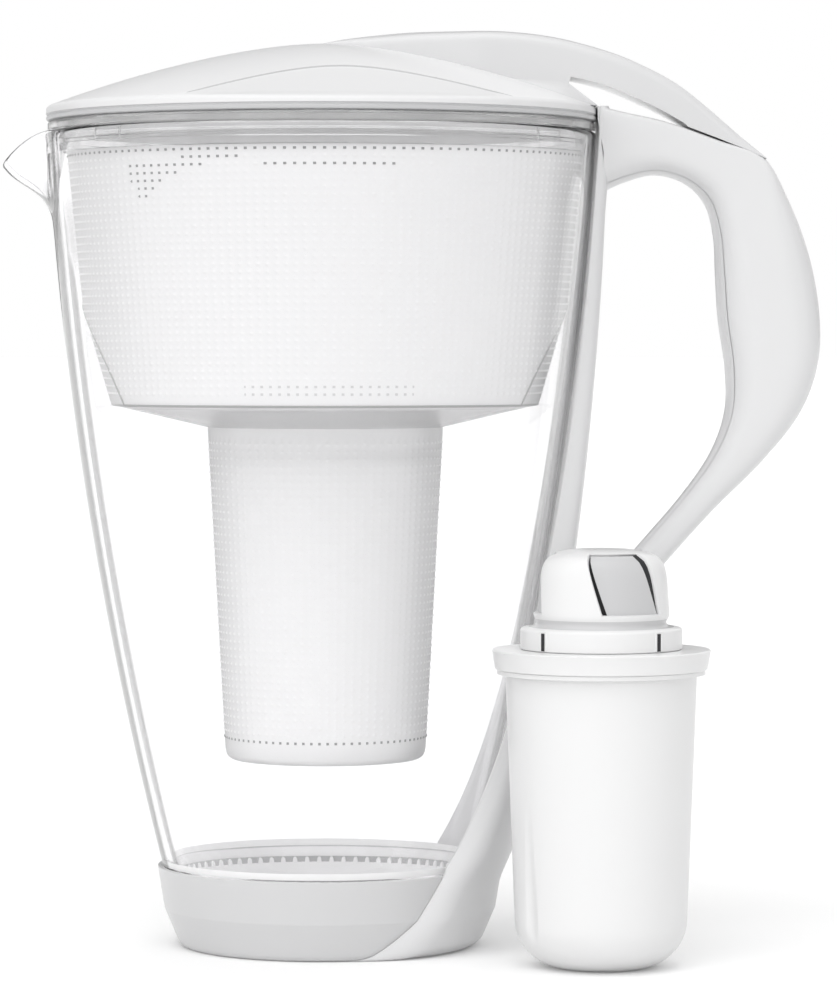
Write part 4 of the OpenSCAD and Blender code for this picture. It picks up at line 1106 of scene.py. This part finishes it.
# Pieces that keep the frame's own shape.
finishes = {
    "glass_seat_ring": "seal", "foot_pad": "rubber", "spine_liner": "seal", "handle_screws": "steel",
    "base_screws": "steel", "well_seal": "paleSealAndPaintedLight", "hinge_pin": "steel", "lid_ring": "lid", "lid_seal": "paleSealAndPaintedLight",
    "tail_screws": "steel", "cartridge_seal": "cartridge", "upper_fleece": "fleece", "filter_media": "granulate",
    "lower_fleece": "fleece", "outlet_screen": "mesh",
}
for nodeName, finish in finishes.items():
    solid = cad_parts[nodeName]
    for place in solid.material_slots:
        place.material = plastics[finish]
    for polygon in solid.data.polygons:
        polygon.use_smooth = False


def calc(tree, operation, *values):
    node = tree.nodes.new("ShaderNodeMath")
    node.operation = operation
    for socket, value in zip(node.inputs, values):
        if isinstance(value, (int, float)):
            socket.default_value = value
        else:
            tree.links.new(value, socket)
    return node.outputs["Value"]


stage = {"floorHalf": 40, "floorTone": 0.85, "floorRough": 0.9, "floorLevel": 0.2, "floorLift": 0.13}


def makeFloor():
    size, tone = stage["floorHalf"], stage["floorTone"]
    mesh = bpy.data.meshes.new("floor")
    mesh.from_pydata([(-size, -size, 0), (size, -size, 0), (size, size, 0), (-size, size, 0)], [], [(0, 1, 2, 3)])
    floor = bpy.data.objects.new("floor", mesh)
    scene.collection.objects.link(floor)
    material, nodes, links, shader = newMaterial("floorWhite")
    setInputs(shader, **{"Base Color": (tone, tone, tone, 1), "Roughness": stage["floorRough"],
                         "Specular IOR Level": stage["floorLevel"], "Emission Color": (1, 1, 1, 1)})
    ray = nodes.new("ShaderNodeLightPath")
    seen = calc(material.node_tree, "MAXIMUM", ray.outputs["Is Camera Ray"], ray.outputs["Is Glossy Ray"])
    seen = calc(material.node_tree, "MAXIMUM", seen, ray.outputs["Is Transmission Ray"])
    links.new(calc(material.node_tree, "MULTIPLY", seen, stage["floorLift"]), shader.inputs["Emission Strength"])
    mesh.materials.append(material)


# Lobes are a direction and a strength; ranges are two inputs and the two levels they give.
studio = {
    "fill": 0.3, "front": ((-0.24, -0.91, 0.34), 1.6), "back": ((0.3, 0.85, 0.25), 0.9), "cards": 8,
    "window": (-0.8, -0.6, 0.25), "windowRange": (0.86, 0.92, 0.75, 1.3), "cardRange": (0.2, -0.3, 0.1, 1),
    "behindRange": (-0.9, -0.2, 0.6, 1),
}


def makeWorld():
    world = bpy.data.worlds.new("studio")
    scene.world = world
    world.use_nodes = True
    tree = world.node_tree
    nodes, links = tree.nodes, tree.links
    nodes.clear()
    out = nodes.new("ShaderNodeOutputWorld")
    rays = nodes.new("ShaderNodeLightPath").outputs
    place = nodes.new("ShaderNodeTexCoord")
    axes = nodes.new("ShaderNodeSeparateXYZ")
    links.new(place.outputs["Generated"], axes.inputs["Vector"])

    def towards(direction):
        aim = Vector(direction).normalized()
        parts = [calc(tree, "MULTIPLY", axes.outputs[label], share) for label, share in zip("XYZ", aim)]
        return calc(tree, "ADD", calc(tree, "ADD", parts[0], parts[1]), parts[2])

    def lobe(direction, strength):
        facing = calc(tree, "MAXIMUM", towards(direction), 0)
        return calc(tree, "MULTIPLY", calc(tree, "POWER", facing, 2), strength)

    def ranged(value, low, high, start, end):
        node = nodes.new("ShaderNodeMapRange")
        setInputs(node, **{"From Min": low, "From Max": high, "To Min": start, "To Max": end})
        links.new(value, node.inputs["Value"])
        return node.outputs["Result"]

    # What lights the object: a broad soft light from the front left and a weaker one from behind.
    lit = calc(tree, "ADD", studio["fill"], lobe(*studio["front"]))
    lit = calc(tree, "ADD", lit, lobe(*studio["back"]))
    # What glossy pieces mirror: a window at the front left, and narrow dark cards that draw edges.
    turn = calc(tree, "ARCTAN2", axes.outputs["X"], axes.outputs["Y"])
    wave = calc(tree, "COSINE", calc(tree, "MULTIPLY", turn, studio["cards"]))
    window = ranged(towards(studio["window"]), *studio["windowRange"])
    mirrored = calc(tree, "MULTIPLY", window, ranged(wave, *studio["cardRange"]))
    # What lies behind clear pieces: white, hardly darkened by the cards.
    behind = ranged(wave, *studio["behindRange"])
    seen = calc(tree, "ADD", calc(tree, "MULTIPLY", mirrored, rays["Is Glossy Ray"]),
                calc(tree, "MULTIPLY", behind, rays["Is Transmission Ray"]))
    seen = calc(tree, "MAXIMUM", seen, rays["Is Camera Ray"])
    direct = calc(tree, "MAXIMUM", rays["Is Camera Ray"],
                  calc(tree, "MAXIMUM", rays["Is Glossy Ray"], rays["Is Transmission Ray"]))
    # Light that reaches a matt surface through the glass is the same as outside it.
    share = calc(tree, "MULTIPLY", direct, calc(tree, "LESS_THAN", rays["Diffuse Depth"], 0.5))
    back = nodes.new("ShaderNodeBackground")
    level = nodes.new("ShaderNodeMix")
    links.new(share, level.inputs["Factor"])
    links.new(lit, level.inputs["A"])
    links.new(seen, level.inputs["B"])
    links.new(level.outputs["Result"], back.inputs["Strength"])
    links.new(back.outputs["Background"], out.inputs["Surface"])
    setInputs(back, Color=(1, 1, 1, 1))


def makeSun(name, strength, spreadAngle, direction):
    data = bpy.data.lights.new(name, "SUN")
    data.energy = strength
    data.angle = math.radians(spreadAngle)
    sun = bpy.data.objects.new(name, data)
    scene.collection.objects.link(sun)
    sun.rotation_euler = Vector(direction).to_track_quat("-Z", "Y").to_euler()


# The camera's place and aim are in metres.
view = {"lens": 161.15, "sensor": 36, "clipEnd": 100, "place": (0.02805, -1.3, 0.176), "aim": (0.02805, 0, 0.1295)}


def makeCamera():
    data = bpy.data.cameras.new("camera")
    data.lens = view["lens"]
    data.sensor_width = view["sensor"]
    data.sensor_fit = "AUTO"
    data.clip_end = view["clipEnd"]
    camera = bpy.data.objects.new("camera", data)
    scene.collection.objects.link(camera)
    camera.location = view["place"]
    aim = Vector(view["aim"]) - camera.location
    camera.rotation_euler = aim.to_track_quat("-Z", "Y").to_euler()
    scene.camera = camera


makeFloor()
makeWorld()
makeSun("keyLight", 1.0, 50, (0.14, 0.22, -1))
makeSun("backLight", 0.25, 60, (-0.5, -0.8, -0.6))
makeCamera()
scene.view_settings.view_transform = "Standard"
print("stage set")
